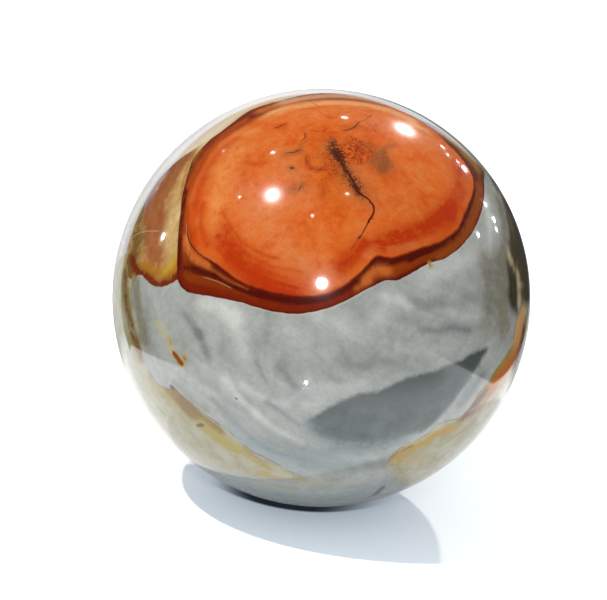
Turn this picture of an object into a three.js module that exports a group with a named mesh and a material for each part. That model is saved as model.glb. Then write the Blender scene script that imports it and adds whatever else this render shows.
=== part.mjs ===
// A polished sphere of polychrome jasper, one solid piece of stone.
//
// Units are millimetres and +Z is up. The origin is the middle of the small flat that is ground into the
// foot of the ball, so the stone stands on the plane z = 0 and its axis is the Z axis. The bands, fields and
// veins of the stone are colour in one even surface, so they have no shape here.

import * as THREE from 'three';

// Driving dimensions
const SPHERE_DIAMETER = 100;
const FOOT_DIAMETER = 10;

// Fineness of the facets: flat faces round the axis, and rings in the lower and in the upper half
const FACES_AROUND = 72;
const RINGS_IN_HALF = 18;

// Polished stone
const STONE_COLOUR = 0xa9826a;
const STONE_ROUGHNESS = 0.12;
const STONE_METALNESS = 0;

const sphereRadius = SPHERE_DIAMETER / 2;
const footRadius = FOOT_DIAMETER / 2;

// The ground flat takes a thin cap off the ball, so the centre stands a little lower than one radius.
const centreHeight = Math.sqrt(sphereRadius ** 2 - footRadius ** 2);

/**
 * Points on the ball's outline between two angles, both counted up from straight below the centre.
 * The first point is on the first angle, and the last one is a step short of the second.
 */
function outlineArc(fromAngle, toAngle) {
  const points = [];
  for (let ring = 0; ring < RINGS_IN_HALF; ring += 1) {
    const angle = THREE.MathUtils.lerp(fromAngle, toAngle, ring / RINGS_IN_HALF);
    const outward = sphereRadius * Math.sin(angle);
    const upward = centreHeight - sphereRadius * Math.cos(angle);
    points.push(new THREE.Vector2(outward, upward));
  }
  return points;
}

/**
 * Half of the ball's outline: from the middle of the foot straight out to its rim, up the lower arc to the
 * widest ring, and on up to the top. Both ends lie on the axis, so the turned solid is closed.
 */
function ballProfile() {
  const footAngle = Math.asin(footRadius / sphereRadius);
  const lowerArc = outlineArc(footAngle, Math.PI / 2);
  const upperArc = outlineArc(Math.PI / 2, Math.PI);
  lowerArc[0].set(footRadius, 0);
  const middleOfFoot = new THREE.Vector2(0, 0);
  const top = new THREE.Vector2(0, centreHeight + sphereRadius);
  return [middleOfFoot, ...lowerArc, ...upperArc, top];
}

/** The ball turned about its axis, stood up so that the axis is Z. */
function ballGeometry() {
  const geometry = new THREE.LatheGeometry(ballProfile(), FACES_AROUND);
  geometry.rotateX(Math.PI / 2);
  return geometry;
}

/** One solid piece of polished stone. */
function makeSphere() {
  const material = new THREE.MeshStandardMaterial({
    color: STONE_COLOUR,
    roughness: STONE_ROUGHNESS,
    metalness: STONE_METALNESS,
  });
  const sphere = new THREE.Mesh(ballGeometry(), material);
  sphere.name = 'jasper_sphere';
  return sphere;
}

const part = new THREE.Group();
part.add(makeSphere());

export default part;
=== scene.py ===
"""Polished sphere of polychrome jasper: a red-orange eye in grey stone, with cream and ochre fields.

The stone is one piece. Its surface is a fine ball worked out on six grids, and every marking is a curve
drawn on that ball: the ball's mesh carries how far each of its points lies from each curve, and the
material turns those distances into bands, fields, veins and specks. Lengths are metres in the frame and
the mesh, and millimetres where a finish gives the width of a band.
"""

import logging
import math
from dataclasses import dataclass
from enum import Enum
from functools import reduce

import bpy
import numpy as np
from mathutils import Matrix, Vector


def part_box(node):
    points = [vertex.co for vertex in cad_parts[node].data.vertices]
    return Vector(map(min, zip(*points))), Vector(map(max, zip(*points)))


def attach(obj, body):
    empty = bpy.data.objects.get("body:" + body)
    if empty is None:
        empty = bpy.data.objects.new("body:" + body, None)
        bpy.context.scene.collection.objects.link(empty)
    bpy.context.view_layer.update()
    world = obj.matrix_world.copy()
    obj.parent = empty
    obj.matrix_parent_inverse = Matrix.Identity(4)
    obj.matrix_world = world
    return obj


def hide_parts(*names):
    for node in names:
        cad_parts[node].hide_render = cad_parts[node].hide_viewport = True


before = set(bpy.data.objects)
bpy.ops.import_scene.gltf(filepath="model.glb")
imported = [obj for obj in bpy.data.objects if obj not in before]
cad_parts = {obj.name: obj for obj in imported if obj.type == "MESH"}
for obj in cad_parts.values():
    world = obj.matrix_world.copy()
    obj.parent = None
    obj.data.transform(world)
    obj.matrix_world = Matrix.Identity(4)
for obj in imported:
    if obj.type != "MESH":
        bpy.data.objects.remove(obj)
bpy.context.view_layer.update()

PHOTO_WIDTH = 607
PHOTO_HEIGHT = 600
MILLIMETRES = 1000.0
NODE = "jasper_sphere"
BODY = "root"

LOG = logging.getLogger("jasper")

# Places are columns and rows in the photograph, or bearings and heights on the hidden sides. A row is a
# stroke's places, half-width and strength. A span is where a smooth step starts and where it ends.
Places = list[tuple[float, float]]
Rows = list[tuple]
Span = tuple[float, float]
Colour = tuple[float, float, float, float]
Socket = bpy.types.NodeSocket

# A bell is followed out to this many of its half-widths.
BELL_REACH = 3
# Spots are short lines, rounded and stepped by these millimetres.
SPOT_ROUNDING = 0.3
SPOT_SPACING = 0.1
# How far the grain swings the strength of a wash that it breaks up in full.
GRAIN_SWING = 4.0
# The Mix node's colour sockets, which share their names with others, by number.
MIX_UNDER = 6
MIX_UPPER = 7
MIX_RESULT = 2
# Keeps a length that something is divided by above 0.
TINY = 1e-12


def tint(red: int, green: int, blue: int) -> Colour:
    """A colour on the usual 0 to 255 scale, as the linear light that shaders use.

    The light is the share of 255 over 12.92 up to a share of 0.04045, and above it the share plus 0.055,
    over 1.055, to the power of 2.4.

    Args:
        red: Red, 0 to 255.
        green: Green, 0 to 255.
        blue: Blue, 0 to 255.

    Returns:
        Linear red, green and blue, and an alpha of 1.
    """
    scaled = np.array([red, green, blue]) / 255.0
    linear = np.where(scaled <= 0.04045, scaled / 12.92, ((scaled + 0.055) / 1.055) ** 2.4)
    return (float(linear[0]), float(linear[1]), float(linear[2]), 1.0)


def unit(vectors: np.ndarray) -> np.ndarray:
    """Vectors scaled to length 1, along their last axis."""
    return vectors / np.linalg.norm(vectors, axis=-1, keepdims=True)


def placed(axes: np.ndarray, position: np.ndarray) -> Matrix:
    """The matrix of an object whose own three axes are the given rows, standing at a position."""
    matrix = np.eye(4)
    matrix[:3, :3] = axes.T
    matrix[:3, 3] = position
    return Matrix(matrix.tolist())


def set_up(name: str, data: bpy.types.ID) -> bpy.types.Object:
    """Puts a camera, lamp or mesh into the scene.

    Args:
        name: The object's name.
        data: The camera, lamp or mesh.

    Returns:
        The object.
    """
    thing = bpy.data.objects.new(name, data)
    bpy.context.scene.collection.objects.link(thing)
    return thing


@dataclass(frozen=True)
class Ball:
    """The size of the stone, read from its solid: a ball that stands on a small ground flat."""

    radius: float
    centre_height: float

    @classmethod
    def of_node(cls, node: str) -> "Ball":
        """Measures the solid.

        Args:
            node: Name of the stone's node in the frame.

        Returns:
            The ball that the solid stands for.
        """
        low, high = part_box(node)
        radius = (high[0] - low[0]) / 2
        return cls(radius=radius, centre_height=high[2] - radius)

    @property
    def centre(self) -> np.ndarray:
        """The middle of the ball."""
        return np.array([0.0, 0.0, self.centre_height])

    @property
    def foot_angle(self) -> float:
        """Angle at the ball's centre from straight down to the rim of the flat."""
        return math.acos(self.centre_height / self.radius)


@dataclass(frozen=True)
class PhotoCamera:
    """The camera of the photograph, and the way from a photo pixel to a place on the stone.

    The elevation and roll are in degrees and the distance in ball radii. Column, row and radius are the
    circle that the stone's outline makes in the photograph, in pixels.
    """

    ball: Ball
    elevation: float = 18.2
    roll: float = 4.1
    distance: float = 16.0
    ball_column: float = 321.3
    ball_row: float = 297.8
    ball_pixels: float = 209.2
    sensor_width: float = 36.0
    sees_from: float = 0.05
    sees_to: float = 50.0

    @property
    def focal_pixels(self) -> float:
        """Focal length in pixels: a ball at distance d shows with radius f / sqrt(d squared less one)."""
        return self.ball_pixels * math.sqrt(self.distance**2 - 1)

    @property
    def position(self) -> np.ndarray:
        """Where the camera stands."""
        tilt = math.radians(self.elevation)
        back = np.array([0.0, -math.cos(tilt), math.sin(tilt)])
        return self.ball.centre + back * self.distance * self.ball.radius

    def axes(self) -> np.ndarray:
        """The camera's right, up and backward directions as the rows of a matrix.

        The camera is turned a little off the ball's centre, so that the ball shows at its own column and
        row and the lens needs no shift.

        Returns:
            A 3 by 3 matrix of unit rows.
        """
        tilt = math.radians(self.elevation)
        turn = math.radians(self.roll)
        back = np.array([0.0, -math.cos(tilt), math.sin(tilt)])
        level = np.array([1.0, 0.0, 0.0])
        rise = np.cross(back, level)
        right = level * math.cos(turn) + rise * math.sin(turn)
        up = rise * math.cos(turn) - level * math.sin(turn)
        aside = (self.ball_column - PHOTO_WIDTH / 2) / self.focal_pixels
        above = (PHOTO_HEIGHT / 2 - self.ball_row) / self.focal_pixels
        back = unit(back + aside * right + above * up)
        right = unit(right - (right @ back) * back)
        return np.array([right, np.cross(back, right), back])

    def ray(self, pixels: np.ndarray) -> np.ndarray:
        """Unit directions in which photo pixels look out from the camera.

        Args:
            pixels: Columns and rows, one pair a line.

        Returns:
            One unit direction a line.
        """
        right, up, back = self.axes()
        across = (pixels[:, :1] - PHOTO_WIDTH / 2) / self.focal_pixels
        above = (PHOTO_HEIGHT / 2 - pixels[:, 1:]) / self.focal_pixels
        return unit(right * across + up * above - back)

    def on_ball(self, pixels: Places) -> np.ndarray:
        """Directions from the ball's centre to the places that photo pixels show.

        A pixel just off the stone counts as the nearest place on its outline.

        Args:
            pixels: Columns and rows in the photograph.

        Returns:
            One unit direction a line.
        """
        rays = self.ray(np.array(pixels, float))
        start = self.position - self.ball.centre
        along = -(rays @ start)
        under_root = along**2 - (start @ start - self.ball.radius**2)
        return unit(start + (along - np.sqrt(np.maximum(under_root, 0.0)))[:, None] * rays)

    def mirrored(self, pixel: tuple[float, float]) -> tuple[np.ndarray, np.ndarray]:
        """The place that a pixel shows, and where the polished surface there sends the view on to.

        Args:
            pixel: Column and row in the photograph.

        Returns:
            The place in the frame, and the unit direction of the mirrored ray.
        """
        outward = self.on_ball([pixel])[0]
        ray = self.ray(np.array([pixel], float))[0]
        return self.ball.centre + outward * self.ball.radius, ray - 2 * (ray @ outward) * outward

    def place(self) -> None:
        """Makes the scene's camera."""
        data = bpy.data.cameras.new("photo_camera")
        data.sensor_width = self.sensor_width
        data.lens = self.focal_pixels * self.sensor_width / PHOTO_WIDTH
        data.clip_start = self.sees_from
        data.clip_end = self.sees_to
        camera = set_up("photo_camera", data)
        camera.matrix_world = placed(self.axes(), self.position)
        bpy.context.scene.camera = camera


def bearings(places: Places) -> np.ndarray:
    """Directions for places on the hidden sides.

    Args:
        places: Bearing and height in degrees: a bearing of 0 faces the photograph's side and 90 the side
            to the right of it, and height is the angle above the level of the ball's centre.

    Returns:
        One unit direction a line.
    """
    if not places:
        return np.empty((0, 3))
    bearing, height = np.radians(np.array(places, float)).T
    level = np.cos(height)
    return np.stack([np.sin(bearing) * level, -np.cos(bearing) * level, np.sin(height)], axis=1)


@dataclass(frozen=True)
class Curve:
    """A curve drawn on the ball: seen points are photo pixels, hidden ones bearings and heights.

    A closed curve runs through the seen points and back through the hidden ones. Its corners are rounded
    by a soft average over the given length, in millimetres.
    """

    seen: Places
    hidden: Places
    closed: bool = True
    rounding: float = 0.5
    spacing: float = 0.25
    fewest: int = 4

    def traced(self, camera: PhotoCamera) -> tuple[np.ndarray, np.ndarray]:
        """The curve as close, even steps.

        The given points are joined by straight chords, cut into equal steps, averaged with a bell-shaped
        weight along the curve, and pushed out to the ball.

        Args:
            camera: The photograph's camera.

        Returns:
            Unit directions of the steps, and at each step the unit direction to the curve's inner side,
            which is the side that a closed curve goes round.
        """
        parts = [bearings(self.hidden)]
        if self.seen:
            parts.insert(0, camera.on_ball(self.seen))
        corners = np.concatenate(parts)
        if self.closed:
            corners = np.concatenate([corners, corners[:1]])
        radius = camera.ball.radius * MILLIMETRES
        lengths = np.linalg.norm(np.diff(corners, axis=0), axis=1) * radius
        reached = np.concatenate([[0.0], np.cumsum(lengths)])
        count = max(self.fewest, round(reached[-1] / self.spacing))
        stops = np.linspace(0.0, reached[-1], count, endpoint=not self.closed)
        steps = np.stack([np.interp(stops, reached, corners[:, axis]) for axis in range(3)], axis=1)
        reach = min(round(BELL_REACH * self.rounding / self.spacing), count - 1)
        if reach > 0:
            offsets = np.arange(-reach, reach + 1)
            weights = np.exp(-0.5 * (offsets * self.spacing / self.rounding) ** 2)
            weights /= weights.sum()
            places = np.arange(count)[:, None] + offsets[None, :]
            places = places % count if self.closed else places.clip(0, count - 1)
            steps = np.einsum("sol,o->sl", steps[places], weights)
        steps = unit(steps)
        if self.closed:
            forward = np.roll(steps, -1, axis=0) - np.roll(steps, 1, axis=0)
        else:
            forward = np.gradient(steps, axis=0)
        inner = unit(np.cross(steps, forward))
        if self.closed:
            middle = unit(steps.mean(axis=0))
            inner *= np.sign(np.sum(np.cross(steps, forward) @ middle))
        return steps, inner


@dataclass(frozen=True)
class Grid:
    """Places on the ball at which the curves are measured, a block of them at a time."""

    directions: np.ndarray
    camera: PhotoCamera
    block: int = 8192
    unseen_from: float = 0.02
    unseen_over: float = 0.3

    def beside_curve(self, curve: Curve, reach: float = math.inf) -> tuple[np.ndarray, np.ndarray]:
        """Where each place lies beside the nearest step of a curve.

        The nearest step is the one whose direction has the largest cosine with the place's own. The way
        across is the gap between the two along the curve's inner side, and the way past an end is what is
        left of the gap, less one step.

        Args:
            curve: The curve.
            reach: Millimetres from the curve up to which places are measured.

        Returns:
            Millimetres across the curve, above 0 on its inner side, and millimetres past its ends. Both are
            endless at the places that aren't measured.
        """
        steps, inner = curve.traced(self.camera)
        radius = self.camera.ball.radius * MILLIMETRES
        middle = unit(steps.mean(axis=0))
        widest = np.arccos(np.clip(steps @ middle, -1, 1)).max() + reach / radius
        near = np.flatnonzero(self.directions @ middle >= math.cos(min(widest, math.pi)))
        across = np.full(len(self.directions), np.inf)
        past = np.full(len(self.directions), np.inf)
        for first in range(0, len(near), self.block):
            some = near[first : first + self.block]
            nearest = np.argmax(self.directions[some] @ steps.T, axis=1)
            gap = self.directions[some] - steps[nearest]
            across[some] = np.sum(gap * inner[nearest], axis=1) * radius
            along = np.sqrt(np.maximum(np.sum(gap**2, axis=1) * radius**2 - across[some] ** 2, 0.0))
            past[some] = np.maximum(along - curve.spacing, 0.0)
        return across, past

    def from_curve(self, curve: Curve, reach: float = math.inf) -> np.ndarray:
        """Millimetres from a curve, above 0 on its inner side: the root of both ways' squares, added."""
        across, past = self.beside_curve(curve, reach)
        return np.copysign(np.hypot(across, past), across)

    def unseen(self) -> np.ndarray:
        """0 where the photograph shows the stone, rising to 1 behind its outline as the cosine falls."""
        facing = self.directions @ unit(self.camera.position - self.camera.ball.centre)
        return np.clip((self.unseen_from - facing) / self.unseen_over, 0.0, 1.0)

    def field(self, curves: list[Curve]) -> np.ndarray:
        """Millimetres inside the outlines of a field, below 0 outside all of them."""
        return np.max([self.from_curve(curve) for curve in curves], axis=0)


@dataclass(frozen=True)
class Stroke:
    """A soft brush stroke along a curve: full at its middle, gone at about twice its half-width."""

    seen: Places
    hidden: Places
    half_width: float
    strength: float = 1.0
    rounding: float = 0.4
    spacing: float = 0.4

    def on(self, grid: Grid) -> np.ndarray:
        """The stroke's strength at each place.

        It falls off as a bell: e to the power of minus the square of the distance over the half-width.

        Args:
            grid: The places.

        Returns:
            The strengths.
        """
        curve = Curve(self.seen, self.hidden, closed=False, rounding=self.rounding, spacing=self.spacing)
        distance = grid.from_curve(curve, BELL_REACH * self.half_width)
        return self.strength * np.exp(-((distance / self.half_width) ** 2))


def drawn(seen: Rows, hidden: Rows = ()) -> list[Stroke]:
    """Strokes from rows of their places, half-width and, unless it is 1, strength."""
    in_photo = [Stroke(places, [], *size) for places, *size in seen]
    return in_photo + [Stroke([], places, *size) for places, *size in hidden]


@dataclass(frozen=True)
class Wash:
    """A colour laid over the stone in soft strokes, more or less broken up by the stone's grain.

    One without a colour steers a finish instead. The most is the largest share of it that shows.
    """

    name: str
    colour: Colour | None
    seen: Rows
    hidden: Rows = ()
    most: float = 0.92
    broken: float = 0.8

    def on(self, grid: Grid) -> np.ndarray:
        """The sum of the strokes at each place."""
        return np.sum([stroke.on(grid) for stroke in drawn(self.seen, self.hidden)], axis=0)


@dataclass(frozen=True)
class Veins:
    """Thin lines of one colour.

    Lengths are millimetres, apart from far, which stands for the way across, in half-widths, where no
    line is near.
    """

    name: str
    colour: Colour
    seen: Rows
    hidden: Rows
    ragged: float = 0.5
    reach: float = 0.8
    rounding: float = 0.3
    spacing: float = 0.15
    measured: float = 3.0
    side_fade: float = 0.4
    end_fade: float = 0.45
    far: float = 9.0

    @property
    def reach_name(self) -> str:
        """The name under which the mesh carries how much of a vein there is at each place."""
        return self.name + "_reach"

    def on(self, grid: Grid) -> dict[str, np.ndarray]:
        """The nearest vein at each place.

        Args:
            grid: The places.

        Returns:
            The way across from the vein's middle in half-widths, with a sign that makes it even through
            the middle, and the vein's strength, which ends past its ends and well beside it.
        """
        across = np.full(len(grid.directions), self.far)
        strength = np.zeros(len(grid.directions))
        nearest = np.full(len(grid.directions), np.inf)
        for vein in drawn(self.seen, self.hidden):
            curve = Curve(vein.seen, vein.hidden, closed=False, rounding=self.rounding, spacing=self.spacing)
            aside, past = grid.beside_curve(curve, self.measured)
            distance = np.hypot(aside, past)
            closer = distance < nearest
            nearest = np.where(closer, distance, nearest)
            across = np.where(closer, aside / vein.half_width, across)
            beside = np.clip((self.reach + vein.half_width - np.abs(aside)) / self.side_fade, 0.0, 1.0)
            ending = np.exp(-((past / self.end_fade) ** 2))
            strength = np.where(closer, vein.strength * ending * beside, strength)
        return {self.name: across, self.reach_name: strength}


EYE_OUTLINE = Curve(
    seen=[
        (282.2, 100.3), (302.7, 95.2), (330, 92.7), (352, 94.8), (372, 99), (390, 104.5), (406, 111.5),
        (423, 121), (439, 128), (453, 138.8), (464.5, 149.5), (475.5, 161), (484.5, 170.5), (484, 179),
        (484.5, 190), (483, 205.8), (479, 220), (471, 235), (459.5, 248.5), (444.7, 259), (428.5, 263.3),
        (412, 273), (397.5, 280.7), (386, 280), (368.8, 288.3), (347, 300.2), (330, 307.8), (314.9, 311.6),
        (302, 313.9), (289, 313.9), (272, 311.3), (259.8, 308.3), (241.4, 302.6), (226, 299),
        (204.7, 295.5), (187, 292.4), (180.5, 286.5), (177.1, 279), (177.1, 256.2), (178.2, 235.8),
        (180.2, 215.4), (181.5, 200), (185.3, 183), (188.4, 171.7), (192.4, 160.5), (198.6, 151.3),
        (210.8, 139), (221, 132), (235.3, 120.7), (249.6, 110.5), (261.8, 106),
    ],
    hidden=[],
    rounding=0.45,
)
CORE_OUTLINE = Curve(
    seen=[
        (290, 103.5), (305, 101), (320, 99.6), (336.3, 99), (358, 100.4), (374.2, 103), (390.5, 107.2),
        (406.8, 113.8), (423, 122.8), (436, 131.2), (447.5, 143), (458.5, 154), (467, 165), (474, 178),
        (474.5, 190), (469.7, 204.8), (465.3, 214.5), (460, 227.5), (453.4, 235), (439.3, 243.8),
        (420.9, 249.2), (404.6, 255.7), (391.5, 259.6), (383, 258), (377.5, 256.6), (373.5, 260),
        (366.6, 267.7), (356.9, 277.4), (343.9, 287.2), (330.8, 293.7), (315.9, 297.5), (299.6, 297.5),
        (285.3, 296), (270, 293), (257.8, 289.5), (245.5, 285.3), (233.3, 278), (225, 272), (218, 266.4),
        (208.8, 260.3), (199.6, 256.2), (193.5, 251), (190.4, 245), (188.4, 235.8), (186.8, 225.6),
        (186.3, 212), (188, 198), (192.5, 185), (200, 170), (208.8, 154.4), (219, 142), (233.3, 132),
        (249.6, 122.8), (263, 114), (277, 107.5),
    ],
    hidden=[],
    rounding=0.4,
)
BACK_EYE_OUTLINE = Curve(
    seen=[],
    hidden=[
        (148, -6), (152, 4), (160, 9), (169, 12), (175, 17), (184, 19), (193, 15), (198, 8), (207, 5),
        (213, -3), (211, -13), (204, -20), (199, -29), (190, -34), (181, -31), (174, -34), (165, -33),
        (157, -26), (154, -17),
    ],
    rounding=1.2,
)
BACK_CORE_OUTLINE = Curve(
    seen=[],
    hidden=[
        (154, -6), (157, 1.5), (164, 5), (171, 8), (177, 13.5), (184, 15.5), (191, 12), (196, 5.5),
        (204, 2.5), (209, -4), (207, -11.5), (200.5, -17.5), (195, -24), (189, -28), (182, -25),
        (175, -27.5), (167, -26.5), (161, -21), (158.5, -13.5),
    ],
    rounding=1.0,
)
LOBE_OUTLINE = Curve(
    seen=[
        (127.5, 276), (131, 279.5), (135, 278.5), (137.4, 275.2), (142.3, 275), (145.7, 279.5),
        (151.5, 285.3), (159.8, 287.6), (168, 285.8), (176.3, 280.7), (190, 275), (196, 230), (200, 190),
        (215, 155), (240, 125), (262, 112), (277, 104), (274, 101), (262, 104), (248, 109.5), (234, 118.5),
        (219, 130.5), (205, 141.5), (193, 150), (183, 156.5), (171, 166.5), (158, 180.5), (146, 200),
        (136, 221), (129, 243), (125, 262),
    ],
    hidden=[],
    rounding=0.45,
)
SIDE_LOBE_OUTLINE = Curve(
    seen=[],
    hidden=[
        (-104, 5), (-113, 9), (-124, 22), (-129, 38), (-142, 51), (-158, 58), (-164, 66), (-142, 68),
        (-124, 62), (-113, 50), (-108, 34), (-101, 20),
    ],
    rounding=1.0,
)
BACK_LOBE_OUTLINE = Curve(
    seen=[],
    hidden=[
        (118, 44), (132, 56), (150, 66), (172, 66), (-166, 58), (-152, 50), (-160, 40), (-176, 39),
        (172, 33), (158, 36), (144, 30), (130, 34),
    ],
    rounding=1.2,
)
CREAM_OUTLINE = Curve(
    seen=[
        (134, 250), (133.5, 270), (131, 290), (132, 303), (134.5, 317), (138, 331), (141, 346.5),
        (144.3, 362.6), (152.3, 376.7), (160.4, 385.8), (168, 389), (172.5, 385.8), (182.6, 396),
        (192.6, 404), (205.5, 414.2), (217.6, 422.7), (229.7, 431.4), (240.6, 442.3), (252.5, 451.8),
        (264, 457), (280, 465.5), (297.6, 475), (310, 480), (296, 481), (270, 478.5), (245, 475),
        (225, 470.5), (204, 464), (188, 457),
    ],
    hidden=[
        (-64, -50), (-80, -46), (-94, -52), (-108, -44), (-112, -32), (-124, -24), (-127, -14), (-119, -11),
        (-113, -2), (-105, -6), (-99, 2), (-92, -1), (-86, 6),
    ],
    rounding=0.5,
)
BACK_CREAM_OUTLINE = Curve(
    seen=[],
    hidden=[
        (120, -30), (134, -38), (150, -46), (172, -44), (-168, -50), (-152, -46), (-146, -58), (-160, -70),
        (170, -76), (140, -66), (118, -52), (110, -40),
    ],
    rounding=1.2,
)
OCHRE_OUTLINE = Curve(
    seen=[
        (387.5, 465), (389.2, 459), (392.5, 454.3), (399.5, 448.2), (410, 443.5), (420, 438), (430, 432),
        (437.5, 424.5), (446, 421), (457, 419), (466, 411.5), (473, 402.5), (478, 394), (483, 388),
        (489, 380.5), (496, 369), (505, 357), (512.5, 343), (515.5, 326), (519, 311), (524.5, 298),
    ],
    hidden=[
        (82, 8), (90, 4), (96, -6), (105, -12), (117, -20), (118, -29), (108, -34), (100, -42), (84, -44),
        (72, -52), (56, -55), (46, -48), (36, -44),
    ],
    rounding=0.45,
)
TEAL_OUTLINE = Curve(
    seen=[
        (298.5, 424), (306, 420), (318, 413.5), (330, 405), (345, 398), (358, 393), (372, 391),
        (388, 386.5), (397, 381.5), (408, 376.5), (420, 373), (436, 370), (443, 366), (452, 363),
        (462, 358.5), (470, 353), (480, 348.5), (488, 346), (489, 351), (483, 358), (480, 367), (474, 373),
        (470, 382), (461, 392), (454, 403), (446, 412), (436, 423), (424, 432), (408, 443), (388, 452),
        (360, 456), (335, 452), (314, 443), (302, 434),
    ],
    hidden=[],
    rounding=0.6,
)
BACK_TEAL_OUTLINE = Curve(
    seen=[],
    hidden=[
        (-146, -12), (-138, -2), (-126, 7), (-117, 4), (-121, -10), (-131, -23), (-144, -35), (-158, -45),
        (-174, -48), (-170, -39), (-157, -31),
    ],
    rounding=1.5,
)
UMBER_OUTLINE = Curve(
    seen=[
        (497, 186), (503, 203), (507.5, 222), (509, 240), (506.5, 260), (508, 280), (508, 298), (511, 309),
        (517, 316), (522, 304),
    ],
    hidden=[
        (86, 4), (94, -3), (106, -8), (121, -13), (131, -8), (126, 2), (117, 6), (115, 15), (123, 26),
        (117, 37), (106, 40), (98, 33), (91, 42), (84, 36),
    ],
    rounding=0.6,
)

CLOUDS = Wash("cloud", None, [
    ([(205, 303), (222, 306), (236, 316)], 2.4, 0.85),
    ([(228, 318), (238, 336), (244, 352)], 2.0, 0.6),
    ([(288, 326), (300, 340), (306, 360)], 2.0, 0.25),
    ([(322, 320), (340, 326), (356, 338)], 2.4, 0.4),
    ([(386, 297), (398, 299), (407, 305)], 1.4, 1.0),
    ([(382, 310), (372, 322)], 1.5, 0.35),
    ([(438, 308), (454, 313)], 0.9, 0.6),
    ([(462, 318), (482, 315)], 0.9, 0.45),
    ([(400, 346), (430, 350), (450, 346)], 1.6, 0.35),
    ([(430, 276), (452, 266), (476, 252)], 2.2, 0.75),
    ([(486, 200), (490, 225), (488, 250)], 1.6, 0.9),
    ([(226, 380), (238, 396), (256, 414)], 1.2, 0.75),
    ([(256, 414), (276, 430), (300, 442)], 1.0, 0.65),
    ([(243, 386), (262, 398), (284, 404)], 1.0, 0.55),
    ([(306, 404), (320, 402)], 1.3, 0.4),
    ([(318, 388), (345, 386), (362, 384)], 1.3, 0.35),
    ([(318, 440), (330, 444)], 0.9, 0.4),
    ([(350, 458), (376, 458)], 0.8, 0.35),
    ([(158, 366), (170, 374)], 1.5, 0.3),
    ([(340, 492), (300, 492)], 2.0, 0.35),
    ([(410, 478), (440, 466)], 1.2, 0.7),
    ([(186, 316), (192, 323), (199, 334)], 1.2, -0.9),
    ([(199, 334), (204, 346), (208, 358)], 1.0, -0.85),
    ([(148, 300), (146, 322), (150, 344)], 1.9, -0.5),
    ([(268, 306), (269, 322), (266, 340)], 1.1, -0.5),
    ([(256, 340), (262, 352)], 1.2, -0.3),
    ([(257, 362), (262, 374), (266, 381)], 0.6, -0.7),
    ([(280, 368), (288, 378), (295, 386)], 1.1, -0.9),
    ([(284, 360), (296, 368)], 1.0, -0.3),
    ([(340, 360), (352, 366), (368, 366)], 1.3, -0.55),
    ([(343, 352), (348, 358)], 0.8, -0.4),
    ([(330, 376), (338, 380)], 0.8, -0.3),
    ([(412, 300), (424, 306), (440, 304)], 1.4, -0.8),
    ([(404, 318), (416, 322)], 1.1, -0.35),
    ([(424, 330), (440, 331), (452, 328), (468, 331)], 0.9, -0.8),
    ([(446, 324), (470, 330), (482, 324)], 0.9, -0.4),
    ([(466, 298), (484, 296)], 1.5, -0.4),
    ([(486, 274), (491, 290), (488, 306)], 1.6, -0.6),
    ([(212, 398), (230, 418), (252, 438)], 0.8, -0.5),
    ([(252, 440), (276, 453), (302, 459)], 0.9, -0.65),
    ([(268, 402), (284, 414), (298, 424)], 0.7, -0.7),
    ([(236, 386), (250, 402)], 0.6, -0.35),
    ([(222, 352), (236, 366)], 1.2, -0.25),
    ([(306, 464), (332, 467), (365, 466), (392, 463)], 2.0, -0.75),
    ([(268, 445), (298, 451), (328, 452)], 3.0, -0.7),
    ([(350, 300), (360, 312)], 1.4, -0.25),
    ([(352, 336), (372, 344)], 1.2, -0.2),
    ([(196, 372), (215, 386)], 1.4, -0.3),
    ([(376, 361), (400, 363)], 1.3, -0.3),
    ([(384, 482), (372, 496)], 1.6, -0.4),
    ([(480, 378), (472, 388), (462, 402)], 1.7, -1.2),
], [
    ([(118, -16), (138, -24), (156, -38)], 5.0, 0.7),
    ([(-150, -22), (-128, -30), (-108, -50)], 4.0, -0.6),
    ([(-170, 30), (-150, 32), (-138, 24)], 4.0, 0.7),
    ([(40, -66), (80, -66), (130, -80)], 5.0, -0.5),
    ([(-20, -66), (-60, -66), (-110, -62)], 4.0, 0.4),
    ([(126, 24), (140, 18), (148, 22)], 4.0, 0.6),
    ([(20, 78), (100, 76), (150, 80)], 5.0, -0.4),
])
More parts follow.
